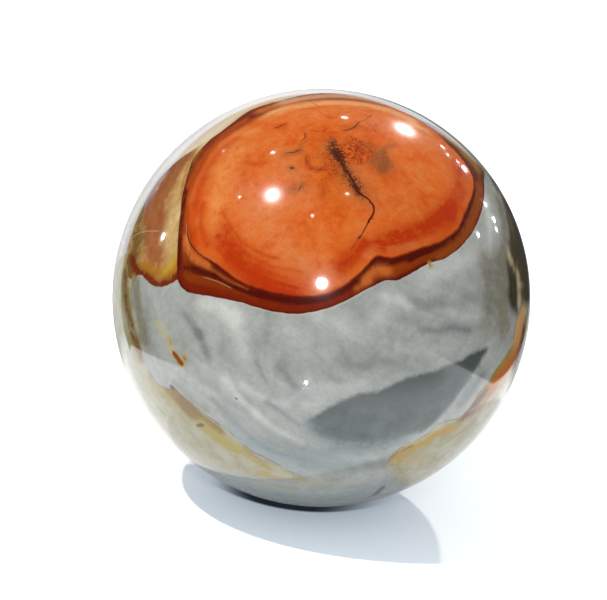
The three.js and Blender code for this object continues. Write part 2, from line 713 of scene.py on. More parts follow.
GROUND_WASHES = (
    # Painted light: a cool blue-grey tint over the ball's lower part and underside, standing in for cool
    # light bouncing up from below.
    Wash("painted_cool_underside", tint(112, 127, 130), [
        ([(236, 438), (290, 462), (350, 458)], 4.0, 0.5),
        ([(222, 478), (300, 498), (380, 488)], 4.5, 0.6),
    ], [
        ([(-30, -70), (60, -74)], 14.0, 0.5),
    ]),
    Wash("dust", tint(92, 84, 58), [
        ([(135, 282), (139, 310), (144, 338)], 2.2, 0.85),
        ([(486, 262), (490, 292), (487, 322)], 3.4, 0.5),
        ([(500, 205), (505, 232), (504, 262)], 2.4, 0.75),
        ([(501, 268), (503, 300), (504, 326)], 3.4, 0.75),
        ([(174, 383), (190, 398), (206, 410)], 0.8, 0.4),
    ], [
        ([(130, 20), (134, 6), (128, -10)], 3.0, 0.6),
    ], most=0.7, broken=0.5),
    Wash("straw", tint(150, 144, 98), [
        ([(158, 324), (165, 334), (171, 347)], 0.9, 0.85),
        ([(187, 352), (182, 372)], 0.6, 0.5),
        ([(298, 480), (330, 483), (352, 483)], 0.45, 0.7),
        ([(258, 484), (286, 490)], 1.1, 0.45),
    ]),
    # Partly painted reflection: the strokes along the upper-left and top rim paint the pale haze of the
    # mirrored backdrop there; the strokes on the hidden sides are the stone's own pale lilac tone.
    Wash("lilac_and_rim_reflection", tint(188, 174, 163), [
        ([(117, 280), (121, 250), (131, 220), (146, 193), (166, 164), (190, 144)], 2.4, 0.9),
        ([(190, 146), (205, 134.5), (222, 121.5), (240, 108.5), (262, 98.5), (282, 94.5), (300, 92.5),
          (330, 90), (360, 92)], 6.0, 1.2),
    ], [
        ([(-112, 0), (-132, 12), (-138, 30), (-158, 46)], 3.5, 0.5),
        ([(-176, 44), (160, 26), (142, 30)], 4.0, 0.5),
    ], most=0.9, broken=0.6),
    Wash("ivory", tint(192, 174, 140), [
        ([(192, 149), (205, 139.5), (219, 128.5), (234, 117), (248, 108), (262, 102.5), (276, 99)], 2.0,
          1.0),
    ], most=0.9, broken=0.4),
    Wash("pearl", tint(132, 130, 127), [
        ([(480, 372), (473, 384), (464, 400)], 0.7, 0.4),
        ([(456, 412), (447, 416)], 0.6, 0.4),
    ]),
)
TEAL_WASHES = (
    Wash("deep_teal", tint(52, 58, 55), [
        ([(330, 411), (347, 403), (374, 396), (402, 388), (430, 379), (455, 368), (482, 355)], 1.9, 0.95),
        ([(372, 402), (402, 398), (436, 392)], 2.4, 0.6),
        ([(460, 362), (476, 356), (492, 346)], 1.8, 0.9),
        ([(302, 426), (318, 430)], 1.0, 0.35),
    ], [
        ([(-121, 3), (-131, -6), (-144, -16), (-156, -28)], 2.6, 0.85),
    ]),
    Wash("teal_mist", tint(98, 108, 107), [
        ([(304, 434), (316, 443), (345, 450), (380, 452), (412, 440)], 2.0, 1.1),
        ([(436, 424), (456, 402), (472, 380), (490, 350)], 1.2, 0.6),
        ([(296, 424), (308, 428), (330, 446)], 2.0, 0.6),
        ([(350, 444), (380, 445), (412, 437)], 1.6, 0.6),
        ([(352, 412), (362, 410)], 1.0, 0.25),
    ], [
        ([(-172, -47), (-156, -42), (-140, -30), (-128, -16)], 4.0, 1.0),
    ]),
)
CREAM_WASHES = (
    Wash("russet", tint(108, 80, 0), [
        ([(170, 389), (179, 398), (190, 410)], 2.0, 1.9),
        ([(188, 408), (202, 418), (218, 430)], 1.2, 1.5),
        ([(245, 449), (258, 459), (266, 466)], 0.4, 0.6),
    ], most=0.97, broken=0.6),
    Wash("gold", tint(140, 120, 34), [
        ([(203, 426), (217, 437), (233, 448)], 2.0, 1.3),
        ([(246, 453), (258, 463), (268, 469)], 0.8, 1.0),
        ([(262, 474), (280, 480), (300, 481)], 1.2, 0.8),
        ([(222, 470), (231, 472)], 0.5, 0.8),
        ([(160, 389), (170, 398), (180, 414)], 1.2, 0.55),
    ], [
        ([(-100, -8), (-112, -14), (-120, -20)], 2.4, 0.9),
        ([(124, -36), (148, -52), (176, -52)], 3.0, 0.95),
    ]),
    Wash("band_brown", tint(90, 62, 20), [
        ([(129, 258), (125.5, 276), (125.5, 292), (128.5, 312), (134, 336), (139, 352)], 2.0, 1.0),
    ], [
        ([(-96, 0), (-112, -4), (-124, -12)], 1.4, 0.9),
        ([(-112, -30), (-107, -42)], 1.6, 0.7),
        ([(130, -42), (150, -60), (176, -64)], 1.8, 0.7),
    ]),
    Wash("ash", tint(120, 122, 106), [
        ([(126, 345), (135, 376), (152, 410), (178, 442)], 2.4, 0.7),
    ], [
        ([(-72, -40), (-90, -30), (-104, -20)], 4.0, 0.6),
    ]),
    Wash("cream_clay", tint(132, 84, 52), [], [
        ([(-86, -34), (-96, -40), (-104, -38)], 3.0, 0.7),
        ([(150, -56), (180, -60), (-164, -58)], 4.0, 0.6),
    ]),
)
OCHRE_WASHES = (
    Wash("amber", tint(148, 114, 12), [
        ([(391, 460), (404, 452), (432, 438)], 1.5, 1.0),
        ([(440, 433), (456, 428)], 1.3, 1.0),
        ([(400, 462), (420, 458)], 1.0, 0.5),
    ], [
        ([(60, -48), (76, -44)], 3.0, 0.7),
    ]),
    Wash("blush", tint(132, 98, 76), [
        ([(472, 414), (482, 404), (491, 392)], 1.2, 0.9),
    ], [
        ([(70, -38), (84, -30)], 3.0, 0.5),
    ]),
    Wash("ochre_orange", tint(158, 84, 10), [
        ([(495, 381), (505, 370), (514, 356), (518, 346)], 3.4, 1.4),
    ], [
        ([(86, -4), (94, -18), (106, -26)], 2.0, 0.9),
    ]),
    Wash("apricot_rim", tint(168, 126, 76), [
        ([(520, 308), (520, 322), (518, 334)], 3.6, 1.2),
    ], [
        ([(84, 4), (88, -4)], 2.6, 0.9),
    ]),
    Wash("ochre_rust", tint(84, 28, 0), [
        ([(464, 416), (474, 405), (484, 393)], 1.6, 0.9),
        ([(392, 457), (398, 452), (412, 446)], 0.28, 0.7),
        ([(516, 362), (521.5, 346), (524, 330)], 1.8, 1.25),
    ], [
        ([(93, -4), (102, -14), (114, -22), (112, -31)], 1.6, 0.9),
    ]),
    Wash("ochre_moss", tint(112, 108, 40), [
        ([(440, 446), (458, 434), (472, 424)], 0.8, 0.6),
        ([(479, 394), (490, 380.5), (497, 370.5), (506, 359), (512, 348)], 0.55, 1.2),
    ]),
)
UMBER_WASHES = (
    Wash("tan", tint(168, 152, 120), [
        ([(505, 244), (509, 255), (512.5, 268)], 1.1, 1.2),
        ([(508, 202), (513, 214)], 0.9, 0.6),
        ([(518, 276), (519, 304)], 1.3, 0.7),
    ], [
        ([(94, 24), (104, 14), (106, 2)], 1.6, 0.8),
        ([(112, 34), (118, 28)], 1.6, 0.6),
    ]),
    Wash("jet", tint(34, 29, 12), [
        ([(511, 274), (512, 292), (512.5, 314)], 2.3, 1.2),
        ([(512, 216), (519, 238), (525, 262), (527, 300)], 3.4, 0.9),
    ], [
        ([(90, 30), (104, 26), (112, 10)], 2.6, 0.8),
        ([(104, -6), (118, -9)], 2.0, 0.8),
    ], most=0.85, broken=1.3),
)
LOBE_WASHES = (
    Wash("chalk", tint(184, 162, 126), [
        ([(198, 148), (214, 135), (230, 121), (246, 109.5), (264, 103)], 2.0, 1.2),
    ], [
        ([(-150, 62), (-132, 60), (-118, 50)], 3.0, 0.7),
    ]),
    Wash("clay", tint(120, 50, 14), [
        ([(184, 158), (174, 172), (164, 190), (158, 206), (156, 222)], 3.4, 1.2),
        ([(152, 196), (149, 212), (150, 226)], 2.6, 0.8),
        ([(152, 240), (152, 249), (156, 258)], 3.2, 1.1),
    ], [
        ([(-130, 54), (-120, 40), (-114, 24)], 3.4, 1.0),
        ([(148, 50), (170, 56), (-170, 50)], 4.0, 0.85),
    ], most=0.78, broken=0.7),
    Wash("clay_dark", tint(84, 34, 12), [
        ([(178, 158), (164, 174), (153, 191), (145, 206)], 1.8, 1.0),
    ]),
    Wash("lobe_moss", tint(94, 68, 18), [
        ([(140, 210), (137, 226), (134, 240)], 2.6, 0.8),
        ([(139, 240), (136, 252), (134, 264)], 2.4, 1.0),
        ([(129, 262), (129, 276)], 2.0, 0.9),
    ], [
        ([(-110, 16), (-117, 26), (-124, 40)], 2.4, 0.8),
    ]),
    Wash("honey", tint(140, 90, 16), [
        ([(197, 149), (188.5, 162), (184, 180), (181.5, 196)], 0.45, 0.9),
        ([(142, 267), (154, 275), (167, 276), (177, 268)], 1.9, 1.1),
    ], [
        ([(-106, 12), (-110, 22), (-111, 36)], 1.6, 0.7),
    ]),
    Wash("lemon", tint(156, 128, 40), [
        ([(165, 271), (172, 265), (174.5, 255)], 1.0, 0.7),
    ]),
    Wash("lobe_rim", tint(90, 26, 0), [
        ([(132, 258), (135, 269), (140, 274), (146, 277), (152, 282), (160, 285), (168, 283), (178, 277)],
          1.3, 1.2),
    ], [
        ([(-102, 8), (-108, 7), (-115, 11), (-124, 23), (-128, 36)], 1.5, 1.0),
        ([(120, 43), (130, 36), (144, 32), (158, 37), (172, 35), (-176, 41), (-160, 42)], 1.5, 0.95),
    ], most=0.97, broken=0.6),
)
HEART_WASHES = (
    Wash("apricot", tint(186, 112, 56), [
        ([(214, 205), (214, 225), (218, 240)], 1.6, 0.65),
        ([(222, 196), (224, 172), (238, 150)], 3.0, 0.7),
        ([(236, 135), (256, 131)], 1.2, 0.5),
        ([(262, 117), (280, 113)], 1.2, 0.8),
        ([(300, 120), (330, 112), (370, 112)], 2.0, 0.25),
        ([(368, 254), (378, 247), (396, 247), (412, 243)], 1.0, 0.7),
    ], [
        ([(176, -4), (186, -6)], 4.0, 0.5),
    ]),
    Wash("salmon", tint(178, 101, 56), [
        ([(244, 190), (262, 222), (290, 252), (304, 268)], 4.2, 0.6),
        ([(284, 160), (300, 178), (304, 196)], 3.0, 0.55),
        ([(352, 168), (364, 178)], 1.8, 0.6),
        ([(330, 272), (342, 282)], 1.6, 0.5),
        ([(372, 122), (400, 132), (430, 140), (444, 152)], 3.2, 0.6),
        ([(372, 206), (400, 200)], 3.0, 0.25),
    ]),
    Wash("blood", tint(149, 36, 0), [
        ([(222, 240), (240, 262), (268, 282), (292, 292)], 3.4, 0.85),
        ([(232, 262), (250, 277), (280, 290)], 1.8, 0.45),
        ([(343, 266), (352, 257), (363, 246)], 2.1, 0.9),
        ([(384, 243), (404, 236), (428, 227), (448, 213)], 2.6, 1.0),
        ([(450, 210), (460, 190), (460, 168)], 2.6, 0.7),
        ([(194, 246), (192, 225), (196, 200), (204, 180)], 1.6, 0.6),
        ([(203, 205), (201, 225), (206, 244)], 0.9, 0.5),
        ([(206, 170), (218, 154), (236, 139)], 1.3, 0.4),
    ], [
        ([(160, -16), (172, -22), (186, -18)], 3.6, 0.8),
        ([(158, 2), (168, 8), (178, 9)], 2.8, 0.5),
    ], most=0.95),
    Wash("swirl", tint(148, 46, 4), [
        ([(224, 214), (231, 228), (242, 242), (256, 251), (268, 256), (277, 258)], 0.42, 0.55),
        ([(222, 236), (232, 250), (248, 263), (266, 272), (284, 277)], 0.6, 0.6),
        ([(219, 249), (230, 263), (246, 276), (256, 282)], 0.5, 0.5),
        ([(237, 247), (252, 258), (272, 266.5), (300, 272)], 0.45, 0.45),
        ([(225, 226), (236, 244), (249, 256)], 0.45, 0.45),
    ], most=0.8, broken=1.0),
    Wash("peach", tint(194, 138, 86), [
        ([(272, 112), (300, 105.5), (330, 102.5), (360, 104), (388, 110), (412, 120)], 1.5, 1.05),
        ([(412, 124), (426, 130)], 1.2, 0.6),
    ]),
)
RIND_WASHES = (
    Wash("bronze", tint(142, 56, 4), [
        ([(184, 240), (184.5, 212), (187.5, 196), (192.5, 180), (201, 163)], 1.1, 1.15),
        ([(201, 163), (211, 148), (225, 135), (244, 121)], 1.2, 1.05),
        ([(196, 180), (204, 163), (214, 149.5), (225, 139.5), (240, 129), (256, 119)], 1.1, 1.1),
        ([(212, 276), (226, 284)], 0.8, 0.35),
        ([(390, 268), (404, 264)], 0.8, 0.6),
    ], [
        ([(205, 0), (200, -15), (190, -22)], 1.2, 0.8),
        ([(152, -14), (160, -28)], 1.2, 0.7),
    ]),
    Wash("tawny", tint(118, 52, 6), [
        ([(440, 255.5), (453, 247), (462, 237.5), (471, 221), (477, 204), (478.5, 186)], 1.35, 1.15),
    ], broken=1.3),
    Wash("garnet", tint(96, 20, 0), [
        ([(196, 288), (230, 294), (262, 303), (300, 309), (330, 303), (352, 293)], 1.2, 0.8),
        ([(179, 276), (186, 286), (200, 291)], 0.9, 0.7),
        ([(241, 118), (250, 113), (261, 110)], 1.2, 1.1),
    ]),
    Wash("sienna", tint(162, 82, 30), [
        ([(185.5, 240), (188, 250), (195, 258.5), (206, 264)], 1.1, 1.25),
        ([(262, 110.5), (274, 106), (292, 102)], 1.6, 1.1),
        ([(209, 268.5), (219, 274.5), (232, 282.5), (246, 288.5)], 0.45, 0.5),
        ([(366, 277), (376, 270), (386, 271)], 1.3, 0.95),
        ([(358, 288), (368, 282)], 0.8, 0.5),
    ]),
    Wash("buff", tint(172, 126, 90), [
        ([(286, 101.5), (304, 98), (330, 95.6), (354, 97), (376, 101), (398, 108)], 2.0, 1.15),
        ([(398, 109), (416, 117)], 1.3, 0.7),
    ], most=0.96, broken=0.4),
    Wash("rind_olive", tint(134, 98, 12), [
        ([(444, 132.5), (457, 144.5), (468, 156), (478.5, 167)], 2.9, 1.25),
        ([(184, 184), (190, 166), (200, 151)], 0.45, 0.7),
    ], broken=1.3),
    Wash("pitch", tint(62, 4, 0), [
        ([(186, 268), (200, 270), (214, 276)], 0.8, 0.8),
        ([(214, 276), (228, 284), (246, 291), (262, 296)], 0.5, 0.9),
        ([(262, 295), (282, 300), (304, 302), (322, 299), (340, 292)], 0.75, 0.8),
        ([(346, 288), (358, 279), (368, 268), (374, 261)], 0.6, 0.6),
        ([(392, 263), (410, 257), (428, 250.5), (444, 243.5)], 0.65, 0.75),
        ([(453, 237.5), (462.5, 223.5), (470, 206.5), (474.5, 188)], 0.5, 0.9),
        ([(180, 264), (180.5, 240), (182.5, 215), (185.5, 192)], 0.8, 0.9),
        ([(480, 169), (483, 172), (482.5, 178)], 0.9, 0.9),
        ([(432, 129), (446, 141), (458, 153.5), (470, 168)], 0.8, 1.0),
    ]),
)
MOSS = Wash("moss", tint(110, 62, 28), [
    ([(362, 150), (374, 156), (382, 164)], 2.8, 0.95),
    ([(332, 150), (346, 172), (362, 194)], 2.6, 0.5),
    ([(383, 152), (386, 160), (382, 169)], 0.8, 0.6),
    ([(386, 148), (394, 145)], 0.9, 0.55),
    ([(347, 174), (352, 180), (356, 186)], 1.3, 0.6),
    ([(330, 140), (332, 150)], 1.2, 0.45),
    ([(348, 127), (360, 127)], 1.1, 0.4),
    ([(286, 154), (298, 152)], 1.2, 0.5),
    ([(290, 168), (294, 169)], 1.0, 0.35),
    ([(290, 190), (302, 186)], 1.3, 0.5),
    ([(304, 142), (300, 148)], 0.8, 0.35),
], [
    ([(170, -4), (176, -2)], 2.2, 0.7),
], most=0.85, broken=1.4)
CRUMBLE = Wash("crumble", tint(178, 84, 22), [
    ([(314, 160), (322, 166), (330, 174)], 2.4, 0.95),
    ([(322, 184), (334, 192), (344, 198)], 2.2, 0.7),
    ([(336, 170), (344, 182)], 2.0, 0.8),
    ([(300, 178), (312, 182)], 1.6, 0.5),
    ([(344, 146), (358, 150)], 2.6, 0.8),
    ([(352, 168), (360, 180)], 1.8, 0.5),
], [
    ([(174, -1), (182, -9)], 3.6, 0.7),
])
EMBER = Wash("ember", tint(138, 46, 2), [
    ([(343, 150), (352, 147), (364, 152)], 1.9, 1.0),
    ([(346, 158), (358, 160)], 1.4, 0.95),
    ([(352, 139), (358, 142)], 1.1, 0.85),
    ([(326, 156), (333, 164), (334, 172)], 1.5, 0.6),
    ([(325, 180), (323, 194)], 1.3, 0.45),
    ([(307, 158), (308, 166), (316, 171), (324, 168)], 0.8, 0.7),
], [
    ([(189, -3), (193, -9)], 1.8, 0.9),
])
DARK_VEINS = Veins("vein", tint(62, 10, 2), [
    ([(356.5, 190), (360, 194), (365, 196.5), (369.5, 200.5), (373, 205), (374.5, 210), (372.5, 215.5)],
      0.28, 0.95),
    ([(372.5, 215.5), (370, 219.5), (367.5, 223.5)], 0.36, 0.95),
    ([(367.5, 223.5), (364.5, 230), (361, 235.5)], 0.2, 0.8),
    ([(360.5, 236.5), (358, 239)], 0.36, 0.85),
    ([(358, 239), (355.5, 243), (352, 248)], 0.14, 0.5),
    ([(335, 152), (339, 158), (343, 166), (349, 174), (354, 183), (357, 190)], 0.3, 0.75),
    ([(344, 130.5), (350, 129.5), (355, 127), (359, 122)], 0.2, 0.8),
    ([(360, 121.5), (366, 119.5), (371, 115.5)], 0.14, 0.7),
    ([(370, 124), (375, 131)], 0.14, 0.55),
    ([(275, 128), (279, 126.5), (285, 124)], 0.24, 0.75),
    ([(305, 134), (306, 137), (302, 140)], 0.22, 0.7),
    ([(288, 153), (296, 152), (298, 150.5)], 0.18, 0.75),
    ([(311, 130.5), (318, 131)], 0.16, 0.45),
    ([(323, 131), (325.5, 129)], 0.2, 0.5),
    ([(347, 112.5), (350, 112)], 0.2, 0.55),
    ([(329, 117.5), (336, 117.5)], 0.14, 0.4),
    ([(299, 190), (300.5, 187)], 0.3, 0.5),
    ([(306.5, 156), (307, 164), (311, 169), (318, 169.5), (324, 167)], 0.25, 0.2),
    ([(311, 101.5), (317, 106)], 0.12, 0.5),
    ([(187, 233), (190, 243), (197, 252), (208, 260), (219, 267.5)], 0.2, 0.8),
], [
    ([(187, 11), (184, 5), (186, -2), (181, -8), (182, -15), (177, -22)], 0.26, 0.85),
    ([(180, -9), (173, -11), (168, -17)], 0.18, 0.6),
])
PALE_VEINS = Veins("pale_vein", tint(172, 150, 104), [
    ([(129.5, 240), (134, 236), (140, 232.5), (148, 231), (158, 231)], 0.18, 0.42),
    ([(205, 277.5), (218, 281.5), (230, 287.5)], 0.14, 0.35),
    ([(306, 174.5), (314, 171.5), (322, 166)], 0.16, 0.15),
    ([(186.2, 226), (186.8, 240), (189, 248)], 0.12, 0.35),
    ([(493, 216), (499, 230), (504, 244)], 0.22, 0.45),
], [
    ([(-106, 30), (-114, 27), (-124, 33)], 0.25, 0.5),
])
SOOT = Wash("soot", tint(44, 20, 12), [
    ([(333, 140), (332, 147), (337, 155)], 1.2, 0.95),
    ([(336, 153), (342, 163), (347, 172), (353, 181), (358, 190)], 1.15, 0.95),
    ([(335, 146), (341, 156)], 1.9, 0.5),
    ([(341, 160), (350, 176), (360, 192)], 2.2, 0.34),
    ([(356, 122), (360, 127)], 0.8, 0.7),
    ([(346, 130), (354, 128)], 0.6, 0.5),
    ([(365, 148), (370, 151)], 0.9, 0.5),
    ([(384, 154), (385, 166)], 0.7, 0.45),
    ([(303, 133), (308, 136)], 0.6, 0.55),
    ([(290, 153), (298, 151)], 0.6, 0.5),
    ([(278, 127.5), (282, 126)], 0.5, 0.6),
    ([(297, 190), (301, 187)], 0.7, 0.45),
    ([(352, 186), (360, 195)], 0.9, 0.5),
], [
    ([(184, 4), (185, -3), (181, -9)], 1.1, 0.8),
])
SPOTS = drawn([
    ([(174.5, 354), (181.5, 363.5)], 0.75),
    ([(184, 357), (185.2, 359.5)], 0.4),
    ([(169.5, 340), (171, 343.5)], 0.25),
    ([(429.8, 263), (431, 267)], 0.2),
], [
    ([(141, -7), (139, -9)], 0.8),
    ([(143, -4), (143.5, -4.5)], 0.4),
    ([(-160, 22), (-157.5, 23)], 0.7),
    ([(-24, -70), (-20, -71)], 1.0),
])
SPECKS = drawn([
    ([(236, 398.2), (236.6, 398.6)], 0.3),
    ([(197.5, 426), (202.5, 424.6)], 0.5),
    ([(161.5, 411), (165, 415)], 0.42),
    ([(375, 494.5), (382.5, 487.5)], 0.8),
    ([(291.6, 168), (292.8, 168.2)], 0.42),
    ([(170.5, 386), (173.5, 388.5)], 0.5),
], [
    ([(128, 12), (129, 11)], 0.5),
    ([(-144, -30), (-143, -32)], 0.6),
])
CORE_LINE = Wash("core_line", None, [
    ([(214, 268), (232, 280), (262, 294), (304, 302), (340, 294), (362, 276), (378, 259)], 3.4, 1.0),
    ([(378, 259), (400, 258), (430, 250), (456, 236), (470, 210), (476, 182), (466, 162)], 3.4, 1.0),
], [
    ([(156, -10), (162, -23), (176, -28), (190, -27), (202, -16), (208, -5)], 4.0, 1.0),
    ([(206, 0), (197, 5), (189, 13), (180, 15)], 3.0, 0.5),
])
SOFT_EDGES = Wash("soft_edge", None, [
    ([(178, 452), (200, 463), (225, 471), (250, 476), (280, 480), (312, 482)], 2.6, 1.3),
    ([(388, 467), (410, 468), (432, 466)], 2.2, 1.2),
], [
    ([(36, -44), (46, -48), (56, -55), (72, -52), (84, -44), (98, -42)], 5.0, 1.3),
    ([(-60, -50), (-80, -46), (-94, -52)], 5.0, 1.3),
    ([(118, -52), (140, -66), (170, -76), (-160, -70)], 6.0, 1.3),
])


class Field(Enum):
    """The fields of the stone, of which the mesh carries the distance to their outlines."""

    EYE = "eye"
    CORE = "core"
    LOBE = "lobe"
    CREAM = "cream"
    OCHRE = "ochre"
    TEAL = "teal"
    UMBER = "umber"


OUTLINES = {
    Field.EYE: [EYE_OUTLINE, BACK_EYE_OUTLINE],
    Field.CORE: [CORE_OUTLINE, BACK_CORE_OUTLINE],
    Field.LOBE: [LOBE_OUTLINE, SIDE_LOBE_OUTLINE, BACK_LOBE_OUTLINE],
    Field.CREAM: [CREAM_OUTLINE, BACK_CREAM_OUTLINE],
    Field.OCHRE: [OCHRE_OUTLINE],
    Field.TEAL: [TEAL_OUTLINE, BACK_TEAL_OUTLINE],
    Field.UMBER: [UMBER_OUTLINE],
}
SOFT_MARKINGS = (
    *GROUND_WASHES, *TEAL_WASHES, *CREAM_WASHES, *OCHRE_WASHES, *UMBER_WASHES, *LOBE_WASHES, *HEART_WASHES,
    *RIND_WASHES, MOSS, CRUMBLE, EMBER, SOOT, CLOUDS, SOFT_EDGES, CORE_LINE,
)


def spots(grid: Grid, made: list[Stroke]) -> np.ndarray:
    """Millimetres inside small spots, each a short line with its half-width round it.

    Args:
        grid: The places.
        made: The spots, as strokes.

    Returns:
        Distances, below 0 outside every spot.
    """
    inside = []
    for spot in made:
        line = Curve(spot.seen, spot.hidden, closed=False, rounding=SPOT_ROUNDING, spacing=SPOT_SPACING)
        inside.append(spot.half_width - np.abs(grid.from_curve(line)))
    return np.max(inside, axis=0)


def measured(grid: Grid) -> dict[str, np.ndarray]:
    """Every marking's value at every place.

    Args:
        grid: The places.

    Returns:
        For fields and spots, millimetres inside them; for washes, their strength; for veins, the way
        across and their reach.
    """
    values = {field.value: grid.field(curves) for field, curves in OUTLINES.items()}
    values.update({wash.name: wash.on(grid) for wash in SOFT_MARKINGS})
    values.update(DARK_VEINS.on(grid))
    values.update(PALE_VEINS.on(grid))
    values["unseen"] = grid.unseen()
    values["spot"] = spots(grid, SPOTS)
    values["speck"] = spots(grid, SPECKS)
    return values


@dataclass(frozen=True)
class Layer:
    """A colour laid over another where a value rises along a span, and the most of it that shows."""

    colour: Colour
    span: Span
    share: float = 1.0


class Paint:
    """Short calls that add shader nodes to one node tree and join them up.

    The wobble is the millimetres that ragged edges move by, and the grain a variation between 0 and 1
    that breaks soft washes up. A material's finishes share them.
    """

    wobble: object = 0.0
    grain: object = 0.5

    def __init__(self, tree: bpy.types.NodeTree, coordinates: str = "Object") -> None:
        """Keeps the node tree and adds the coordinates that its patterns read."""
        self.tree = tree
        self.place = self.node("ShaderNodeTexCoord", {}).outputs[coordinates]

    def node(self, kind: str, inputs: dict[object, object], **settings: object) -> bpy.types.Node:
        """Adds a node.

        Args:
            kind: The node's type.
            inputs: Sockets or plain values, by the name or number of the input that takes them.
            settings: The node's own settings.

        Returns:
            The node.
        """
        node = self.tree.nodes.new(kind)
        for name, value in settings.items():
            setattr(node, name, value)
        for name, value in inputs.items():
            self.feed(node.inputs[name], value)
        return node

    def feed(self, socket: Socket, value: object) -> None:
        """Joins a socket to another one's output, or sets its plain value.

        Args:
            socket: The socket.
            value: The output, or the value.
        """
        if isinstance(value, Socket):
            self.tree.links.new(value, socket)
        else:
            socket.default_value = value

    def apart(self, vector: Socket) -> list[Socket]:
        """The three parts of a vector."""
        return list(self.node("ShaderNodeSeparateXYZ", {0: vector}).outputs)

    def light(self, colour: Colour) -> Socket:
        """Even light of one colour and strength, for a world."""
        return self.node("ShaderNodeBackground", {"Color": colour}).outputs[0]

    def glow(self, colour: Colour, strength: object = 1.0) -> Socket:
        """Light that a surface gives off."""
        return self.node("ShaderNodeEmission", {"Color": colour, "Strength": strength}).outputs[0]

    def choose(self, share: object, first: Socket, second: Socket) -> Socket:
        """The second of two shaders where share is 1, the first where it is 0, and a mix between."""
        return self.node("ShaderNodeMixShader", {0: share, 1: first, 2: second}).outputs[0]

    def math(self, kind: str, *values: object, clamp: bool = False) -> Socket:
        """One step of arithmetic, of the given kind; clamped, it is kept between 0 and 1."""
        settings = {"operation": kind, "use_clamp": clamp}
        return self.node("ShaderNodeMath", dict(enumerate(values)), **settings).outputs[0]

    def carried(self, name: str) -> Socket:
        """What the mesh carries under a marking's name."""
        return self.node("ShaderNodeAttribute", {}, attribute_name=name).outputs["Fac"]

    def held(self, name: str) -> Socket:
        """What the mesh carries under a marking's name, but at most 1."""
        return self.math("MINIMUM", self.carried(name), 1.0)

    def noise(
        self, grain: float, detail: float = 3.0, rough: float = 0.5, warp: float = 0.0, at: object = None
    ) -> Socket:
        """Soft random variation between 0 and 1, about 0.5.

        Args:
            grain: Size of its features in millimetres.
            detail: How many finer layers it has.
            rough: How strong each finer layer is.
            warp: How far it is pulled about by itself.
            at: Where it is read, or None for the piece's own coordinates.

        Returns:
            The variation.
        """
        inputs = {
            "Vector": self.place if at is None else at,
            "Scale": MILLIMETRES / grain if at is None else 1.0,
            "Detail": detail,
            "Roughness": rough,
            "Distortion": warp,
        }
        return self.node("ShaderNodeTexNoise", inputs).outputs["Fac"]

    def banded(self, distance: Socket, across: float, along: float, detail: float = 3.0) -> Socket:
        """Random streaks that follow an outline, as layers laid down along it do.

        The place is scaled down by the length of a streak and pushed aside by the distance to the outline
        over the width of a streak, so the variation changes fast across the outline and slowly along it.

        Args:
            distance: Millimetres from the outline.
            across: Width of a streak in millimetres.
            along: Length of a streak in millimetres.
            detail: How many finer layers it has.

        Returns:
            The variation, between 0 and 1.
        """
        slow = self.scaled(self.place, MILLIMETRES / along)
        push = self.node("ShaderNodeCombineXYZ", {0: self.math("DIVIDE", distance, across)}).outputs[0]
        pushed = self.node("ShaderNodeVectorMath", {0: slow, 1: push}, operation="ADD").outputs[0]
        return self.noise(1.0, detail, at=pushed)

    def rise(self, value: object, low: float, high: float) -> Socket:
        """A smooth step along a value.

        With t for the way from low to high as a share, the step is t squared times 3 less 2 t.

        Args:
            value: The value.
            low: Where the step is 0, as it is beyond. It may be the larger one of the two.
            high: Where the step is 1, as it is beyond.

        Returns:
            The step.
        """
        start, end = (0.0, 1.0) if low < high else (1.0, 0.0)
        inputs = {
            "Value": value,
            "From Min": min(low, high),
            "From Max": max(low, high),
            "To Min": start,
            "To Max": end,
        }
        return self.node("ShaderNodeMapRange", inputs, interpolation_type="SMOOTHSTEP").outputs["Result"]

    def edge(self, value: object, place: float, softness: float) -> Socket:
        """0 before a place along a value and 1 past it; with a softness below 0, the other way round."""
        return self.rise(value, place - softness, place + softness)

    def swing(self, variation: Socket, size: float) -> Socket:
        """A variation about 0.5 turned into one about 0, size from end to end."""
        return self.math("MULTIPLY_ADD", variation, size, -size / 2)

    def add(self, *values: object) -> Socket:
        """The sum of sockets and numbers."""
        return reduce(lambda total, value: self.math("ADD", total, value), values)

    def times(self, *values: object) -> Socket:
        """The product of sockets and numbers."""
        return reduce(lambda total, value: self.math("MULTIPLY", total, value), values)

    def rest(self, share: object) -> Socket:
        """1 less a share."""
        return self.math("SUBTRACT", 1.0, share)

    def both(self, first: object, second: object, share: float) -> Socket:
        """A share of the first number, and the rest of the second."""
        return self.add(self.times(first, share), self.times(second, 1 - share))

    def over_number(self, under: object, upper: object, share: object) -> Socket:
        """The first number where share is 0, the second where it is 1, and a mix between."""
        return self.add(under, self.times(share, self.math("SUBTRACT", upper, under)))

    def over(self, under: object, upper: object, share: object) -> Socket:
        """One colour laid over another, of which a share of 0 to 1 shows."""
        inputs = {"Factor": share, MIX_UNDER: under, MIX_UPPER: upper}
        return self.node("ShaderNodeMix", inputs, data_type="RGBA").outputs[MIX_RESULT]

    def laid(self, under: object, layer: Layer, value: object, *shares: object) -> Socket:
        """A layer over a colour, where a value rises along the layer's span and by further shares."""
        share = self.times(self.rise(value, *layer.span), *shares, layer.share)
        return self.over(under, layer.colour, share)

    def scaled(self, colour: object, factor: object) -> Socket:
        """A colour or a vector times a factor."""
        return self.node("ShaderNodeVectorMath", {0: colour, "Scale": factor}, operation="SCALE").outputs[0]

    def washed(self, under: object, washes: tuple[Wash, ...], grain: object) -> Socket:
        """Lays washes over a colour, one after the other.

        Args:
            under: The colour below.
            washes: The washes.
            grain: Variation between 0 and 1 that breaks them up.

        Returns:
            The colour with the washes on it.
        """
        colour = under
        for wash in washes:
            patchy = self.add(1.0, self.swing(grain, GRAIN_SWING * wash.broken))
            share = self.math("MULTIPLY", self.carried(wash.name), patchy, clamp=True)
            colour = self.over(colour, wash.colour, self.math("MINIMUM", share, wash.most))
        return colour

